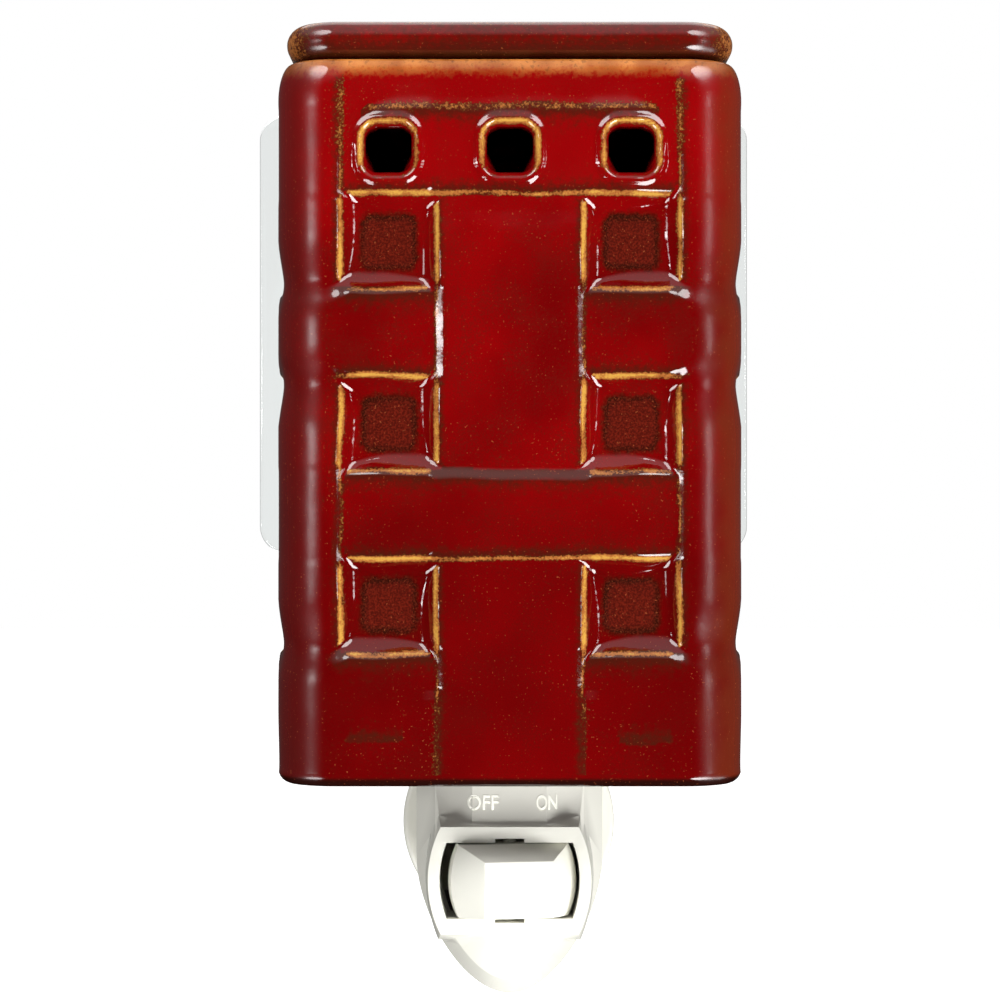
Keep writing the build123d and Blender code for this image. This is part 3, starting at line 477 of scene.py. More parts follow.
def glaze(name, warmth, lip_z, rim_painted_light):
    """A glaze, by how brown it runs, where its lip starts and how much painted light brightens its
    rim.
    """
    coat = Glaze(name, warmth)
    red = coat.floored(coat.broken(coat.painted_side_light(coat.body(lip_z, rim_painted_light))))
    spark = coat.noise(0.3 * MM, 0.0).between(0.76, 0.84)
    waves = coat.noise(9 * MM, 1.0) + coat.noise(1.6 * MM, 2.0) * RIPPLE
    relief = {"Height": waves, "Distance": WAVE_DEPTH, "Strength": WAVE_STRENGTH}
    return coat.set(
        Base_Color=coat.mix(spark * 0.4, red, SPARK),
        Roughness=coat.roughness(),
        Normal=coat.add("ShaderNodeBump", {}, relief, "Normal"),
        IOR=1.55,
    )


shade_glaze = glaze("red_glaze_shade", warmth=0.0, lip_z=LIP_Z, rim_painted_light=0.45)
dish_glaze = glaze("red_glaze_dish", warmth=0.16, lip_z=NO_LIP, rim_painted_light=0.0)
print("glazes mixed:", shade_glaze.name, dish_glaze.name)

# %% [markdown]
# The shade is one shell: up its woven outside, over the lip, down inside, across the
# floor to the socket hole and back under its foot. A grid that closes on itself both ways
# wraps all of that. Its columns stand closer where strips have edges, and each keeps its
# share of a side or a corner, so that any rounded rectangle can carry it.

# %% The shade's sizes in plan
FRONT, RIGHT, BACK, LEFT = range(4)
VENT_PROUD = 0.6
SHADE_CORNER = 10.0
FRONT_SPAN = 27.8
FRONT_STRIP = 12.4
SIDE_SPAN = 21.8
SIDE_STRIP = 7.0
VENT_X = (-20.1, 0.0, 20.1)
VENT_HALF = 3.85
RIVET_X = (-21.0, 19.0)

shade_low, shade_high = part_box("shade")
SHADE_HALF_X = shade_high.x / MM
SHADE_BACK = shade_high.y / MM
SHADE_FRONT = shade_low.y / MM + VENT_PROUD
SHADE_BOTTOM = shade_low.z / MM
SHADE_TOP = shade_high.z / MM
SHADE_HALF_Y = (SHADE_BACK - SHADE_FRONT) / 2
SHADE_Y = (SHADE_BACK + SHADE_FRONT) / 2
FRONT_FLAT = SHADE_HALF_X - SHADE_CORNER
SIDE_FLAT = SHADE_HALF_Y - SHADE_CORNER
print("flats to", round(FRONT_FLAT, 1), round(SIDE_FLAT, 1))

# %% Columns round a rounded rectangle
FINE = 0.45
COARSE = 1.3
BACK_STEPS = (0.7, 2.6)
EDGE_ZONE = 3.2


def graded(low, high, edges, fine, coarse):
    """Places from low to high, closer together near the edges."""
    places = [low]
    while places[-1] < high:
        near = min((abs(places[-1] - edge) for edge in edges), default=high)
        places.append(places[-1] + (fine if near < EDGE_ZONE else coarse))
    stretch = (high - low) / (places[-1] - low)
    return [low + (place - low) * stretch for place in places[:-1]]


def columns_round(flats, edges, steps, corner_steps):
    """Columns as (side, place on the side's flat, turn round its corner)."""
    found = []
    for side in (FRONT, RIGHT, BACK, LEFT):
        flat = flats[side % 2]
        for place in graded(-flat, flat, edges[side], *steps[side]):
            found.append((side, place, 0.0))
        for step in range(corner_steps):
            found.append((side, flat, step / corner_steps))
    return found


vent_edges = [x + half for x in VENT_X for half in (-VENT_HALF, VENT_HALF)]
front_edges = [-FRONT_SPAN, -FRONT_STRIP, FRONT_STRIP, FRONT_SPAN] + vent_edges
side_edges = [-SIDE_SPAN, -SIDE_STRIP, SIDE_STRIP, SIDE_SPAN]
back_edges = [-x for x in RIVET_X]
shade_edges = (front_edges, side_edges, back_edges, side_edges)
woven_steps = (FINE, COARSE)
shade_steps = (woven_steps, woven_steps, BACK_STEPS, woven_steps)
shade_flats = (FRONT_FLAT, SIDE_FLAT)
shade_columns = columns_round(shade_flats, shade_edges, shade_steps, corner_steps=18)
print(len(shade_columns), "columns round the shade")

# %% [markdown]
# A ring is a rounded rectangle at one level. It turns a column into a point, and tells which
# way is outwards there, so that the weave can push it in or out.

# %% Points on a ring
class Ring:
    """A rounded rectangle in plan, in millimetres."""

    def __init__(self, half_x, half_y, corner, centre_y):
        self.flat = (half_x - corner, half_y - corner)
        self.corner = corner
        self.centre_y = centre_y

    def point(self, column, flats, out=0.0):
        """Where a column meets the ring, and the way outwards there."""
        side, place, turn = column
        share = (place / flats[side % 2] + 1) / 2
        corners = [(-1, -1), (1, -1), (1, 1), (-1, 1), (-1, -1)]
        x0, y0 = corners[side]
        x1, y1 = corners[side + 1]
        x = (x0 + (x1 - x0) * share) * self.flat[0]
        y = (y0 + (y1 - y0) * share) * self.flat[1]
        angle = math.radians(-90 + 90 * (side + turn))
        away = Vector((math.cos(angle), math.sin(angle)))
        reach = self.corner + out
        return Vector((x, y + self.centre_y)) + away * reach, away


outer_ring = Ring(SHADE_HALF_X, SHADE_HALF_Y, SHADE_CORNER, SHADE_Y)
print("corner of the outer ring:", outer_ring.corner, "mm")

# %% [markdown]
# The weave's height is a sum of simple ideas. A strip is level across its width and falls
# off round its edges, steeply at first and then softly into the window. Where it passes
# under another strip it dives a millimetre over a run of some nine. The highest of the
# strips wins, with a little melt at the meeting, which is what glaze does in a corner.
# Where two strips cross, and most of all round the shade's corners, the fall is softer.

# %% Weave relief
BAND_COUNT = 4
BAND_PITCH = 30.2
BAND_HALF = 7.45
FOOT_STRIP = 7.4
FIRST_BAND = SHADE_BOTTOM + FOOT_STRIP + BAND_HALF
BAND_CENTRES = [FIRST_BAND + row * BAND_PITCH for row in range(BAND_COUNT)]
TOP_BAND = BAND_COUNT - 1
WINDOW_DEPTH = 3.0
RIM_DEPTH = 0.9
FOOT_DEPTH = 0.35
SHOULDER = 1.0
SLOPE_RUN = 2.2
SLOPE_POWER = 1.6
SOFT_SHOULDER = 1.0
SOFT_RUN = 1.8
CORNER_SOFTNESS = 3.0
CORNER_FADE = 3.0
DIVE = 1.0
DIVE_RUN = 9.0
MELT = 0.5
WANDER = 0.35
WANDER_RUN = 9.0


def smooth(t):
    """0 below 0, 1 above 1, and a soft step between."""
    t = min(1.0, max(0.0, t))
    return t * t * (3 - 2 * t)


def fall(inside, depth, softness):
    """How far a strip's face has fallen, this far inside its edge."""
    shoulder = SHOULDER + SOFT_SHOULDER * softness
    run = SLOPE_RUN + SOFT_RUN * softness
    reach = max(0.0, shoulder - inside) / run
    return depth * (1 - math.exp(-(reach**SLOPE_POWER)))


def melt(first, second):
    """The higher of two heights, rounded where they meet."""
    near = max(MELT - abs(first - second), 0.0) / MELT
    return max(first, second) + near * near * MELT / 4


def dive(beyond):
    """The level of a strip this far beyond the edge of the one that covers it."""
    return -DIVE * (1 - smooth(beyond / DIVE_RUN))


def wander(place, height, seed):
    """The slow wobble of a hand-finished edge."""
    return noise.noise(Vector((place / WANDER_RUN, height / WANDER_RUN, seed))) * WANDER


print("bands at", [round(centre, 1) for centre in BAND_CENTRES])

# %% [markdown]
# Each side has upright strips at its two corners and one in its middle. A corner strip goes
# round the corner onto the next side, so a place on the corner is measured from both sides
# and the nearer edge counts. The back is plain, and the relief fades out round its corners.

# %% Where a column lies among the upright strips
FRONT_STRIPS = (FRONT_FLAT, FRONT_SPAN, FRONT_STRIP)
SIDE_STRIPS = (SIDE_FLAT, SIDE_SPAN, SIDE_STRIP)
STRIPS = (FRONT_STRIPS, SIDE_STRIPS, None, SIDE_STRIPS)


def strip_places(column):
    """How far inside a corner strip and a middle strip, and the share of relief here."""
    side, place, turn = column
    arc = math.pi / 2 * SHADE_CORNER
    found = []
    if STRIPS[side]:
        flat, span, strip = STRIPS[side]
        found.append((abs(place) + turn * arc - span, strip - abs(place) - turn * arc))
    following = STRIPS[(side + 1) % 4]
    if turn and following:
        flat, span, strip = following
        from_middle = flat + (1 - turn) * arc
        found.append((from_middle - span, strip - from_middle))
    if not found:
        return 0.0, 0.0, 0.0
    in_corner = min(corner for corner, strip in found)
    in_middle = max(strip for corner, strip in found)
    share = 1.0
    if side == RIGHT and turn:
        share = 1 - smooth(turn)
    if side == BACK:
        share = smooth(turn)
    return in_corner, in_middle, share


print("inside the middle strip:", strip_places((FRONT, 0.0, 0.0))[1], "mm")

# %% [markdown]
# Three square vents go through the top band. Each has a low rounded rim, which rises out of
# the band, rolls over and goes down into the hole. All of it is measured from the outline of
# a square with rounded corners.

# %% Vents
VENT_CORNER = 2.1
VENT_FLARE = 1.3
VENT_SLOPE = 1.1
VENT_ROLL = 1.3
VENT_Z = BAND_CENTRES[TOP_BAND]
FAR = 99.0


def square_distance(across, up, half, corner):
    """The distance outside a square with rounded corners."""
    dx = abs(across) - half + corner
    dy = abs(up) - half + corner
    outside = math.hypot(max(dx, 0.0), max(dy, 0.0))
    return outside + min(max(dx, dy), 0.0) - corner


def vent_distance(place, height):
    """How far outside the nearest vent a place on the front is."""
    up = height - VENT_Z
    return min(square_distance(place - x, up, VENT_HALF, VENT_CORNER) for x in VENT_X)


def vent_ring(column, height):
    """How much a vent's raised rim adds here, and how far outside its hole this is."""
    side, place, turn = column
    if side != FRONT or turn:
        return 0.0, FAR
    away = vent_distance(place, height)
    if away > VENT_FLARE:
        return VENT_PROUD * (1 - smooth((away - VENT_FLARE) / VENT_SLOPE)), away
    inward = 1 - max(away, 0.0) / VENT_FLARE
    return VENT_PROUD - VENT_ROLL * inward * inward, away


print("vents at", VENT_X, "mm across and", round(VENT_Z, 1), "mm up")

# %% [markdown]
# Along the strips' edges the glaze breaks: a thin amber crest on the edge itself and brown
# beside it. It shows most beside the open windows, less where strips cross, and hardly at
# all round the shade's corners. Lower edges carry more amber than upper ones. The rim's and
# the foot's edges are broad and faint.

# %% How edges are marked
CREST_SET = 0.25
CREST_RUN = 0.46
BROAD_CREST_RUN = 0.85
BROWN_SET = 1.0
BROWN_OUT = 0.2
RIM_CREST = 0.46
FOOT_CREST = 0.1
FOOT_BROWN = 0.8
CORNER_BROWN_LOSS = 0.75
UPRIGHT_CREST = 0.55
UPRIGHT_CREST_GAIN = 0.65
UPRIGHT_BROWN = 0.75
UPRIGHT_SPREAD = 0.9
END_MIDDLE_CREST = 0.3
END_CORNER_CREST = 0.45

# The crest, how much of it is kept where strips cross, the brown and how far that spreads.
UPPER_EDGE = (0.95, 0.15, 1.0, 2.6)
LOWER_EDGE = (1.25, 0.62, 0.85, 1.9)


def band_marks(upper_edge, outer_row, in_window, on_corner):
    """How strong the crest and the brown are on a level strip, and the brown's spread."""
    crest, kept, brown, spread = UPPER_EDGE if upper_edge else LOWER_EDGE
    crest *= kept + (1 - kept) * in_window
    if outer_row:
        crest = RIM_CREST if upper_edge else FOOT_CREST
    if outer_row and not upper_edge:
        brown = FOOT_BROWN * in_window
    return crest * (1 - on_corner), brown * (1 - CORNER_BROWN_LOSS * on_corner), spread


def upright_marks(upper_edge, outer_row, on_middle, open_side):
    """The same on an upright strip."""
    crest = UPRIGHT_CREST + UPRIGHT_CREST_GAIN * open_side
    brown = UPRIGHT_BROWN
    if outer_row:
        crest = END_MIDDLE_CREST if on_middle else END_CORNER_CREST
    if outer_row and upper_edge and on_middle:
        crest = brown = 0.0
    return crest, brown, UPRIGHT_SPREAD


def edge_marks(inside, crest_run, marks):
    """The crest and the brown this far inside an edge."""
    crest, brown, spread = marks
    crest *= math.exp(-(((inside - CREST_SET) / crest_run) ** 2))
    brown *= math.exp(-max(inside - BROWN_SET, 0.0) / spread)
    return crest, brown if inside > -BROWN_OUT else 0.0


print("crests beside a window:", UPPER_EDGE[0], LOWER_EDGE[0])

# %% [markdown]
# Now the weave as a whole. At every column and level it finds the nearest band and upright
# strip, and which of them lies on top. From these come the height and the three numbers for
# the glaze. The wander moves each edge a little before anything is measured from it, and
# each side takes it from another part of the noise.

# %% The height and the marks of the weave
SIDE_APART = 100
CORNER_SEED, MIDDLE_SEED, BAND_SEED = 1.0, 5.0, 9.0
WINDOW_BORDER = 1.5
WINDOW_HALF = 4.5
WINDOW_CORNER = 1.6
WINDOW_FADE = 4.0
WINDOW_FADE_START = 0.45
RING_CREST = 1.2
RING_CREST_LOSS = 1.0
RING_UNDER = 0.3
RING_SET = 0.5
RING_RUN = 0.45


def window_mark(side, place, height):
    """How much a place belongs to the floor of a window."""
    flat, span, strip = STRIPS[side] or SIDE_STRIPS
    across = abs(abs(place) - (span + strip) / 2)
    up = min(abs(height - (centre + BAND_PITCH / 2)) for centre in BAND_CENTRES[:TOP_BAND])
    pit = square_distance(across, up, WINDOW_HALF, WINDOW_CORNER)
    return 1 - smooth(pit / WINDOW_FADE + WINDOW_FADE_START)


def ring_mark(height, away):
    """The amber on a vent's rim, which thins along its lower side."""
    under = smooth((VENT_Z - height) / VENT_HALF - RING_UNDER)
    strength = RING_CREST - RING_CREST_LOSS * under
    return strength * math.exp(-(((away - VENT_FLARE + RING_SET) / RING_RUN) ** 2))


def weave(column, height):
    """Height in mm at a column and level, with how crest, brown and floor show there."""
    side, place, turn = column
    in_corner, in_middle, share = strip_places(column)
    if not share:
        return 0.0, 0.0, 0.0, 0.0
    place_along = place + turn * SHADE_CORNER + side * SIDE_APART
    in_corner += wander(height, place_along, CORNER_SEED)
    in_middle += wander(height, place_along, MIDDLE_SEED)
    ground = WINDOW_DEPTH
    if height > BAND_CENTRES[TOP_BAND]:
        ground = RIM_DEPTH
    if height < BAND_CENTRES[0]:
        ground = FOOT_DEPTH

    from_bands = []
    for centre in BAND_CENTRES:
        inside = BAND_HALF - abs(height - centre)
        from_bands.append(inside + wander(place_along, centre, BAND_SEED))
    in_band = max(from_bands)
    nearest = from_bands.index(in_band)
    over_middle = nearest % 2 == 1
    covered = max(-(in_corner if over_middle else in_middle), 0.0)
    strip_inside = max(in_corner, in_middle)
    in_window = smooth(-strip_inside / WINDOW_BORDER)
    open_side = smooth(-in_band / WINDOW_BORDER)
    on_corner = smooth(in_corner / CORNER_FADE)
    crossing = (1 - in_window) * (1 + CORNER_SOFTNESS * on_corner)
    band = dive(covered) - fall(in_band, ground, crossing)
    on_middle = in_middle > in_corner
    beyond = -in_band
    if over_middle != on_middle:
        beyond = max(-in_band, 0.0) + BAND_PITCH / 2 - BAND_HALF
    upright = dive(max(beyond, 0.0)) - fall(strip_inside, ground, 1 - open_side)
    level = melt(melt(band, upright), -ground)

    upper_edge = height > BAND_CENTRES[nearest]
    outer_row = nearest == (TOP_BAND if upper_edge else 0)
    inside, marks = in_band, band_marks(upper_edge, outer_row, in_window, on_corner)
    if upright > band:
        inside, marks = strip_inside, upright_marks(upper_edge, outer_row, on_middle, open_side)
    crest, brown = edge_marks(inside, BROAD_CREST_RUN if outer_row else CREST_RUN, marks)
    floor = window_mark(side, place, height)
    rim, away = vent_ring(column, height)
    if away < VENT_FLARE + VENT_SLOPE:
        crest = max(crest, ring_mark(height, away))
    return (level + rim) * share, crest * share, brown * share, floor * share


sample = weave((FRONT, VENT_X[0], 0.0), BAND_CENTRES[1] + BAND_PITCH / 2)
print("height and marks in a window:", [round(value, 2) for value in sample])

# %% [markdown]
# The shade's section is a closed line, drawn as rows. Each row follows a ring at a height,
# some way in or out, and the rows of the floor shrink towards the round socket hole. The
# lip is drawn as a tall quarter of an ellipse, because the glaze thins and turns amber
# over its whole round.

# %% Rows of the shade
RIVET_Z = 109.9
SHADE_WALL = 4.2
FLOOR_Z = SHADE_BOTTOM + 5.0
FLOOR_ROUND = 1.5
LIP_INSET = 2.3
LIP_HEIGHT = 6.0
MOUTH_ROUND = 1.4
FOOT_ROUND = 2.3
INNER_COARSE = 6.0
FLOOR_SHARES = (0.3, 0.65, 0.96, 1.0)

inset = RIM_DEPTH + SHADE_WALL
inner_ring = Ring(
    SHADE_HALF_X - inset,
    SHADE_HALF_Y - RIM_DEPTH / 2 - SHADE_WALL,
    SHADE_CORNER - inset,
    SHADE_Y + RIM_DEPTH / 2,
)


class Row:
    """A row of a section: its ring, how far out, how high, how far to its middle."""

    def __init__(self, ring, out, z, share=0.0, woven=False):
        self.ring = ring
        self.out = out
        self.z = z
        self.share = share
        self.woven = woven


def arc_rows(ring, centre_out, centre_z, run, rise, start, end, steps, woven=False):
    """Rows along a part of an ellipse, with angles counted from outwards to up."""
    found = []
    for step in range(steps + 1):
        angle = math.radians(start + (end - start) * step / steps)
        out = centre_out + run * math.cos(angle)
        found.append(Row(ring, out, centre_z + rise * math.sin(angle), woven=woven))
    return found


def shade_rows():
    """The whole section, from the foot up the outside, down the inside and back."""
    levels = [centre + half for centre in BAND_CENTRES for half in (-BAND_HALF, BAND_HALF)]
    vent_levels = [VENT_Z - VENT_HALF, VENT_Z + VENT_HALF]
    foot_z = SHADE_BOTTOM + FOOT_ROUND
    lip_z = SHADE_TOP - LIP_HEIGHT
    mouth_z = SHADE_TOP - MOUTH_ROUND
    floor_z = FLOOR_Z + FLOOR_ROUND
    wall = graded(foot_z, lip_z, levels + vent_levels, FINE, COARSE)
    inner_levels = [-z for z in (*vent_levels, RIVET_Z)]
    inside = graded(-mouth_z, -floor_z, inner_levels, 2 * FINE, INNER_COARSE)
    rows = [Row(outer_ring, 0.0, z, woven=True) for z in wall]
    lip = (-LIP_INSET, lip_z, LIP_INSET, LIP_HEIGHT)
    rows += arc_rows(outer_ring, *lip, 0, 90, steps=14, woven=True)
    rows += arc_rows(inner_ring, MOUTH_ROUND, mouth_z, -MOUTH_ROUND, MOUTH_ROUND, 90, 0, steps=5)
    rows += [Row(inner_ring, 0.0, -z) for z in inside[1:]]
    rows += arc_rows(inner_ring, -FLOOR_ROUND, floor_z, FLOOR_ROUND, -FLOOR_ROUND, 0, 90, steps=4)
    rows += [Row(inner_ring, -FLOOR_ROUND, FLOOR_Z, share) for share in FLOOR_SHARES]
    rows += [Row(outer_ring, -FOOT_ROUND, SHADE_BOTTOM, s) for s in reversed(FLOOR_SHARES)]
    foot = arc_rows(outer_ring, -FOOT_ROUND, foot_z, FOOT_ROUND, FOOT_ROUND, -90, 0, steps=6)
    return rows + foot[:-1]


rows = shade_rows()
print(len(rows), "rows,", len(rows) * len(shade_columns), "faces")

# %% [markdown]
# The grid comes from one operator, and only its vertices move. The vents and the rivet
# holes go through both walls. Where a hole's outline crosses an edge of the grid, the
# nearer end of that edge moves onto the outline. Then what lies inside is deleted, and the
# outer and inner rims of each hole are bridged.

# %% The grid and its holes
RIVET_HOLE = 2.1
ON_LINE = 1e-9
TINY = 0.01
HOLES = [(FRONT, x) for x in VENT_X] + [(BACK, -x) for x in RIVET_X]


def hole_distance(side, place, height):
    """How far outside the nearest hole this place of a wall is."""
    if side == FRONT:
        return vent_distance(place, height)
    if side == BACK:
        return min(math.hypot(place + x, height - RIVET_Z) for x in RIVET_X) - RIVET_HOLE
    return FAR


class Place:
    """Where a vertex of the grid lies: its column and row, which a hole can move."""

    def __init__(self, column, row):
        self.side, self.place, self.turn = column
        self.row = row
        self.z = row.z
        in_wall = not self.turn and not row.share and abs(row.z - VENT_Z) < BAND_PITCH
        self.away = hole_distance(self.side, self.place, self.z) if in_wall else FAR

    def snap(self):
        """Moves onto the outline of the nearest hole."""
        across = (hole_distance(self.side, self.place + TINY, self.z) - self.away) / TINY
        up = (hole_distance(self.side, self.place, self.z + TINY) - self.away) / TINY
        self.place -= self.away * across
        self.z -= self.away * up
        self.away = 0.0


def wrapped_grid(columns, rows):
    """A grid that will close both ways, and the place of every vertex."""
    bm = bmesh.new()
    bmesh.ops.create_grid(bm, x_segments=len(columns), y_segments=len(rows), size=1.0)
    bm.verts.ensure_lookup_table()
    places = []
    for vert in bm.verts:
        across = round((vert.co.x + 1) / 2 * len(columns)) % len(columns)
        along = round((vert.co.y + 1) / 2 * len(rows)) % len(rows)
        places.append(Place(columns[across], rows[along]))
    return bm, places


def open_holes(bm, places):
    """Moves the grid onto the holes' outlines and returns the faces inside."""
    to_snap = set()
    for edge in bm.edges:
        first, second = (places[vert.index] for vert in edge.verts)
        if first.away * second.away < 0:
            to_snap.add(min((first, second), key=lambda place: abs(place.away)))
    for place in to_snap:
        place.snap()
    for face in list(bm.faces):
        aways = [places[vert.index].away for vert in face.verts]
        if min(aways) < -ON_LINE and max(aways) > ON_LINE:
            on_line = [vert for vert, away in zip(face.verts, aways) if abs(away) < ON_LINE]
            if len(on_line) == 2:
                bmesh.utils.face_split(face, *on_line)
    inside = [f for f in bm.faces if any(places[v.index].away < -ON_LINE for v in f.verts)]
    print(len(to_snap), "vertices on outlines,", len(inside), "faces to cut out")
    return inside


def bridge_holes(bm):
    """Joins the outer and inner rims of each hole."""
    rims = {hole: [] for hole in HOLES}
    for edge in bm.edges:
        if not edge.is_boundary:
            continue
        spot = (edge.verts[0].co + edge.verts[1].co) / 2 / MM
        side = FRONT if spot.y < SHADE_Y else BACK
        place = spot.x if side == FRONT else -spot.x
        near = [hole for hole in HOLES if hole[0] == side]
        rims[min(near, key=lambda hole: abs(hole[1] - place))].append(edge)
    for edges in rims.values():
        bmesh.ops.bridge_loops(bm, edges=edges)
    print("rims:", [len(edges) for edges in rims.values()])


print(len(HOLES), "holes")

# %% [markdown]
# Both glazed pieces are made alike. A wrapped grid gets its places, each place gives a point
# and three marks, the closing seams are welded, and the faces are turned outwards. Every
# finished piece rides on its body, and all but the letters stand for a solid.

# %% From a grid to a piece
WELD = 0.002 * MM
MARKS = ("crest", "brown", "floor")


def shape(bm, places, point_of):
    """Moves every vertex to its point and stores the glaze's marks."""
    layers = [bm.verts.layers.float.new(name) for name in MARKS]
    for vert in bm.verts:
        point, values = point_of(places[vert.index])
        vert.co = Vector(point) * MM
        for layer, value in zip(layers, values):
            vert[layer] = value


def finished(bm, name, body, material, slot, *replaced):
    """Turns a bmesh into a smooth piece that rides on its body."""
    mesh = bpy.data.meshes.new(name)
    bm.to_mesh(mesh)
    bm.free()
    mesh.shade_smooth()
    mesh.materials.append(material)
    piece = bpy.data.objects.new(name, mesh)
    bpy.context.scene.collection.objects.link(piece)
    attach(piece, body)
    if replaced:
        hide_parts(*replaced)
    return piece


print("marks:", MARKS)

# %% The shade's mesh
HOLE_R = 12.1
LIP_FADE = 4.0
FOOT_FADE = 1.5


def shade_point(place):
    """A vertex's point in mm, and the weave's marks there."""
    row = place.row
    column = (place.side, place.place, place.turn)
    height, crest, brown, floor, foot = 0.0, 0.0, 0.0, 0.0, 0.0
    # The foot's round gets the mark for its painted shade.
    above_foot = place.z - SHADE_BOTTOM - FOOT_ROUND
    if above_foot < 0:
        foot = smooth(-above_foot / FOOT_ROUND * FOOT_FADE)
    if row.woven:
        height, crest, brown, floor = weave(column, place.z)
        into_lip = (place.z - SHADE_TOP + LIP_FADE) / LIP_FADE
        height *= 1 - smooth(into_lip)
        below_lip = 1 - smooth(into_lip * 2)
        crest *= below_lip
        brown *= below_lip
    point, away = row.ring.point(column, shade_flats, row.out)
    point += away * height
    if row.share:
        hole_centre = Vector((0, SHADE_Y))
        hole = (point - hole_centre).normalized() * HOLE_R + hole_centre
        point = point.lerp(hole, row.share)
    return (point.x, point.y, place.z), (crest, brown, floor - foot)


bm, places = wrapped_grid(shade_columns, rows)
inside_holes = open_holes(bm, places)
shape(bm, places, shade_point)
bmesh.ops.delete(bm, geom=inside_holes, context="FACES")
bmesh.ops.remove_doubles(bm, verts=bm.verts, dist=WELD)
bridge_holes(bm)
bmesh.ops.recalc_face_normals(bm, faces=bm.faces)
shade = finished(bm, "shade_woven", "warmer", shade_glaze, "red_glaze", "shade")
print(len(shade.data.polygons), "faces on the shade")

# %% [markdown]
# The dish is a tray with a fat round rim. Its section starts under the middle of the bowl,
# goes round the rim and ends in the middle of the basin. The bowl fits the shade's mouth
# with a gap all round, and the basin lies a wall's thickness inside it. The glaze ran off
# the rim's ends, which are amber, and the rim is browner and darker along its lower half.

# %% Rows of the dish
DISH_CORNER = 9.0
DISH_STEP = 2.4
BOWL_GAP = 1.6
BOWL_CORNER = 5.0
BOWL_ROUND = 3.0
BOWL_DROP = 10.0
BOWL_WALL_DROPS = (3.0, 0.5)
BOTTOM_SHARES = (1.0, 0.7, 0.35, 0.0)
DISH_WALL = 3.6
RIM_HALF = 3.1
INNER_RIM_STEPS = 8
BASIN_FLOOR = 3.6
BASIN_LEAN = 3.4
BASIN_ROUND = 2.4
BASIN_WALL_STEPS = 5
BASIN_SHARES = (0.3, 0.65, 1.0)

dish_low, dish_high = (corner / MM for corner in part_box("dish"))
DISH_SEAT = dish_low.z + BOWL_DROP
bowl_half_x = inner_ring.flat[0] + inner_ring.corner - BOWL_GAP
bowl_half_y = inner_ring.flat[1] + inner_ring.corner - BOWL_GAP
mouth_y = inner_ring.centre_y
dish_ring = Ring(dish_high.x, (dish_high.y - dish_low.y) / 2, DISH_CORNER, mouth_y)
bowl_ring = Ring(bowl_half_x, bowl_half_y, BOWL_CORNER, mouth_y)
basin_ring = Ring(bowl_half_x - DISH_WALL, bowl_half_y - DISH_WALL, BOWL_CORNER, mouth_y)
no_edges = ((),) * 4
even_steps = ((DISH_STEP, DISH_STEP),) * 4
dish_columns = columns_round(dish_ring.flat, no_edges, even_steps, corner_steps=12)


def dish_rows():
    """The dish's section, from under its middle, round the rim, to the basin's middle."""
    bottom, top = dish_low.z, dish_high.z
    bowl_z = bottom + BOWL_ROUND
    rim_z = (DISH_SEAT + top) / 2
    rim_rise = (top - DISH_SEAT) / 2
    floor_z = bottom + BASIN_FLOOR
    low_z = floor_z + BASIN_ROUND
    basin_out = -BASIN_ROUND / 2
    lean_at_rim = BASIN_LEAN * (rim_z - floor_z) / (top - floor_z)
    rim_reach = dish_ring.flat[0] + DISH_CORNER - RIM_HALF
    inner_run = rim_reach - (basin_ring.flat[0] + BOWL_CORNER + lean_at_rim)

    rows = [Row(bowl_ring, -BOWL_ROUND, bottom, share) for share in BOTTOM_SHARES]
    bowl = arc_rows(bowl_ring, -BOWL_ROUND, bowl_z, BOWL_ROUND, BOWL_ROUND, -90, 0, steps=6)
    rows += bowl[1:]
    rows += [Row(bowl_ring, 0.0, DISH_SEAT - drop) for drop in BOWL_WALL_DROPS]
    rows += arc_rows(dish_ring, -RIM_HALF, rim_z, RIM_HALF, rim_rise, -90, 90, steps=22)
    for step in range(1, INNER_RIM_STEPS + 1):
        angle = math.radians(90 - 90 * step / INNER_RIM_STEPS)
        out = lean_at_rim + inner_run * (1 - math.cos(angle))
        rows.append(Row(basin_ring, out, rim_z + rim_rise * math.sin(angle)))
    for step in range(1, BASIN_WALL_STEPS):
        z = rim_z + (low_z - rim_z) * step / BASIN_WALL_STEPS
        rows.append(Row(basin_ring, BASIN_LEAN * (z - floor_z) / (top - floor_z), z))
    rows += arc_rows(basin_ring, basin_out, low_z, BASIN_ROUND, -BASIN_ROUND, 0, 90, steps=6)
    rows += [Row(basin_ring, basin_out, floor_z, share) for share in BASIN_SHARES]
    return rows


dish_section = dish_rows()
print(len(dish_section), "rows,", len(dish_columns), "columns")

# %% The dish's mesh
END_FADE = 7.0
END_CREST = 0.55
TOP_CREST = 0.42
TOP_START = 0.75
DISH_BROWN = 0.45
LOW_BROWN = 0.5
LOW_END = 0.6


def dish_point(place):
    """A vertex's point in mm, and the glaze's marks there."""
    row = place.row
    column = (place.side, place.place, place.turn)
    point, away = row.ring.point(column, dish_ring.flat, row.out)
    point = point.lerp(Vector((0, row.ring.centre_y)), row.share)
    from_end = max(abs(point.x) - dish_high.x + END_FADE, 0.0) / END_FADE
    rise = (row.z - DISH_SEAT) / (dish_high.z - DISH_SEAT)
    crest = END_CREST * smooth(from_end)
    crest += TOP_CREST * smooth((rise - TOP_START) / (1 - TOP_START))
    brown = DISH_BROWN + LOW_BROWN * smooth((LOW_END - rise) / LOW_END)
    return (point.x, point.y, row.z), (crest, brown, 0.0)


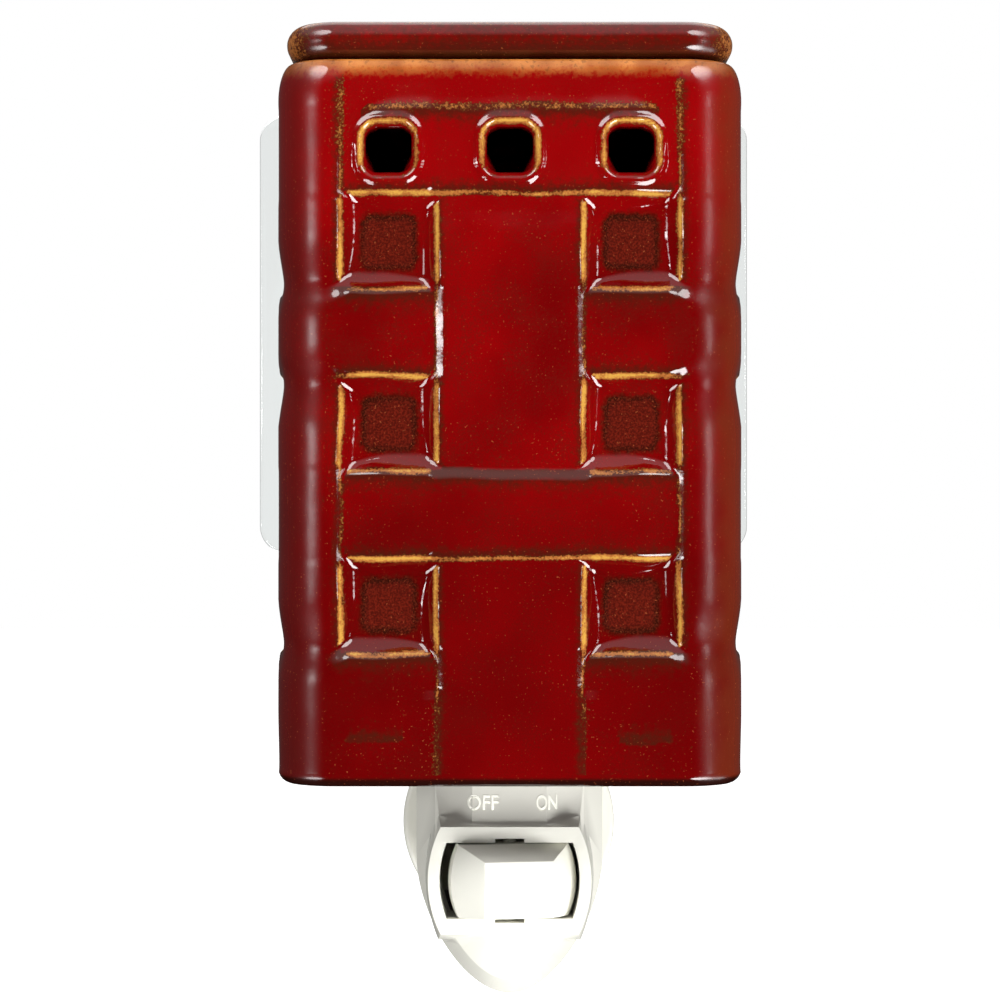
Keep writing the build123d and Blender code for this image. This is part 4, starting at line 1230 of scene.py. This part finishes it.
bm, places = wrapped_grid(dish_columns, dish_section)
shape(bm, places, dish_point)
bmesh.ops.remove_doubles(bm, verts=bm.verts, dist=WELD)
loose = [edge for edge in bm.edges if edge.is_wire]
bmesh.ops.delete(bm, geom=loose, context="EDGES")
bmesh.ops.recalc_face_normals(bm, faces=bm.faces)
dish = finished(bm, "dish_glazed", "dish", dish_glaze, "red_glaze", "dish")
print(len(dish.data.polygons), "faces on the dish")

# %% [markdown]
# The other finishes are plain. Each node of the construction names its material slot, so a
# table from slot to finish dresses them all.

# %% Plain finishes
GLOSS_GRAIN = 6 * MM
GLOSS_LOW = 0.97
GLOSS_SPREAD = 0.06


def plain(name, colour, roughness, metallic=0.0, **more):
    """A finish with a faint unevenness in its gloss."""
    finish = Finish(name)
    uneven = finish.noise(GLOSS_GRAIN, 3.0).between(0.3, 0.7)
    return finish.set(
        Base_Color=rgb(*colour),
        Roughness=uneven * (GLOSS_SPREAD * roughness) + GLOSS_LOW * roughness,
        Metallic=metallic,
        **more,
    )


CLEAR = {"Transmission_Weight": 1.0}
finishes = {
    "red_glaze": shade_glaze,
    "white_plastic": plain("white_moulding", (0.88, 0.87, 0.785), 0.26, IOR=1.5),
    "clear_plastic": plain("clear_sheet", (0.93, 0.96, 0.95), 0.04, IOR=1.49, **CLEAR),
    "gasket_rubber": plain("washer", (0.6, 0.6, 0.56), 0.7),
    "brass": plain("stamped_brass", (0.8, 0.58, 0.27), 0.3, 1.0),
    "nickel": plain("plated_cap", (0.72, 0.69, 0.64), 0.22, 1.0),
    "steel": plain("plain_steel", (0.56, 0.56, 0.56), 0.32, 1.0),
    "black_glass": plain("insulator", (0.02, 0.02, 0.022), 0.2),
    "bulb_glass": plain("lamp_glass", (1.0, 1.0, 1.0), 0.02, IOR=1.5, **CLEAR),
}
slot_of = {part["node"]: part["material_slot"] for part in frame["record"]["subparts"]}
for node, slot_name in slot_of.items():
    for slot in nodes[node].material_slots:
        slot.link = "OBJECT"
        slot.material = finishes[slot_name]
print(len(finishes), "finishes on", len(nodes), "pieces")

# %% [markdown]
# The base's mouldings keep the construction's forms. Copies of them get the small round
# that a mould leaves on an edge, which catches the light beside the neck's facets and round
# the switch. The clear plate's edges are eased the same way.

# %% Soft edges
FLAT_ANGLE = math.radians(1.5)
SHADING_ANGLE = math.radians(35)
EDGE_SEGMENTS = 3


def softened(node, name, body, width, sharp):
    """A copy of a piece whose edges, where they turn this sharply, are rounded."""
    bm = bmesh.new()
    bm.from_mesh(nodes[node].data)
    bmesh.ops.remove_doubles(bm, verts=bm.verts, dist=WELD)
    bmesh.ops.dissolve_limit(bm, angle_limit=FLAT_ANGLE, verts=bm.verts, edges=bm.edges)
    outward = [edge for edge in bm.edges if edge.is_manifold and edge.is_convex]
    chosen = [edge for edge in outward if edge.calc_face_angle() > math.radians(sharp)]
    bmesh.ops.bevel(
        bm, geom=chosen, offset=width * MM, offset_type="OFFSET", segments=EDGE_SEGMENTS,
        profile=0.5, affect="EDGES", clamp_overlap=True, material=-1,
    )
    slot_name = slot_of[node]
    piece = finished(bm, name, body, finishes[slot_name], slot_name, node)
    piece.data.set_sharp_from_angle(angle=SHADING_ANGLE)
    print(name, len(chosen), "edges rounded")


softened("base_front", "base_moulding_front", "warmer", width=0.5, sharp=16)
softened("base_rear", "base_moulding_rear", "warmer", width=0.4, sharp=30)
softened("rocker", "rocker_moulding", "rocker", width=0.35, sharp=16)
softened("wall_guard", "guard_sheet", "warmer", width=0.5, sharp=40)

# %% [markdown]
# OFF and ON stand up a little from the neck beside the switch, in plain moulded capitals.
# The neck's front is flat in the middle and leans back at its cheeks, and the letters that
# reach past the flat lean with it.

# %% Letters
LETTER_HEIGHT = 2.5
CAPITAL_SHARE = 0.7
LETTER_DEEP = 0.6
LETTER_EDGE = 0.06
LETTER_PROUD = 0.08
LETTER_Z = 9.1
NECK_Y = -53.9
NECK_HALF = 6.4
CHEEK_LEAN = 4.7 / 6.5


def letter_mesh(word):
    """A word as a mesh, standing at the origin and facing up."""
    curve = bpy.data.curves.new(word, "FONT")
    curve.body = word
    curve.size = LETTER_HEIGHT / CAPITAL_SHARE * MM
    curve.extrude = LETTER_DEEP * MM
    curve.bevel_depth = LETTER_EDGE * MM
    lettering = bpy.data.objects.new(word, curve)
    bpy.context.scene.collection.objects.link(lettering)
    bpy.context.view_layer.update()
    graph = bpy.context.evaluated_depsgraph_get()
    mesh = bpy.data.meshes.new_from_object(lettering.evaluated_get(graph))
    bpy.data.objects.remove(lettering)
    return mesh


def raised_word(word, low_x, high_x):
    """A word moulded on the neck's front, between two places across."""
    bm = bmesh.new()
    bm.from_mesh(letter_mesh(word))
    xs = [vert.co.x for vert in bm.verts]
    ys = [vert.co.y for vert in bm.verts]
    zs = [vert.co.z for vert in bm.verts]
    stretch = (high_x - low_x) * MM / (max(xs) - min(xs))
    for vert in bm.verts:
        x = low_x * MM + (vert.co.x - min(xs)) * stretch
        z = LETTER_Z * MM + (vert.co.y - (min(ys) + max(ys)) / 2)
        beside = max(abs(x) - NECK_HALF * MM, 0.0)
        y = (NECK_Y - LETTER_PROUD) * MM + (max(zs) - vert.co.z) + beside * CHEEK_LEAN
        vert.co = (x, y, z)
    bmesh.ops.remove_doubles(bm, verts=bm.verts, dist=WELD)
    bmesh.ops.recalc_face_normals(bm, faces=bm.faces)
    name = "letters_" + word.lower()
    finished(bm, name, "warmer", finishes["white_plastic"], "white_plastic")
    print(name, "from", low_x, "to", high_x, "mm")


raised_word("OFF", -7.3, -1.9)
raised_word("ON", 4.6, 8.2)
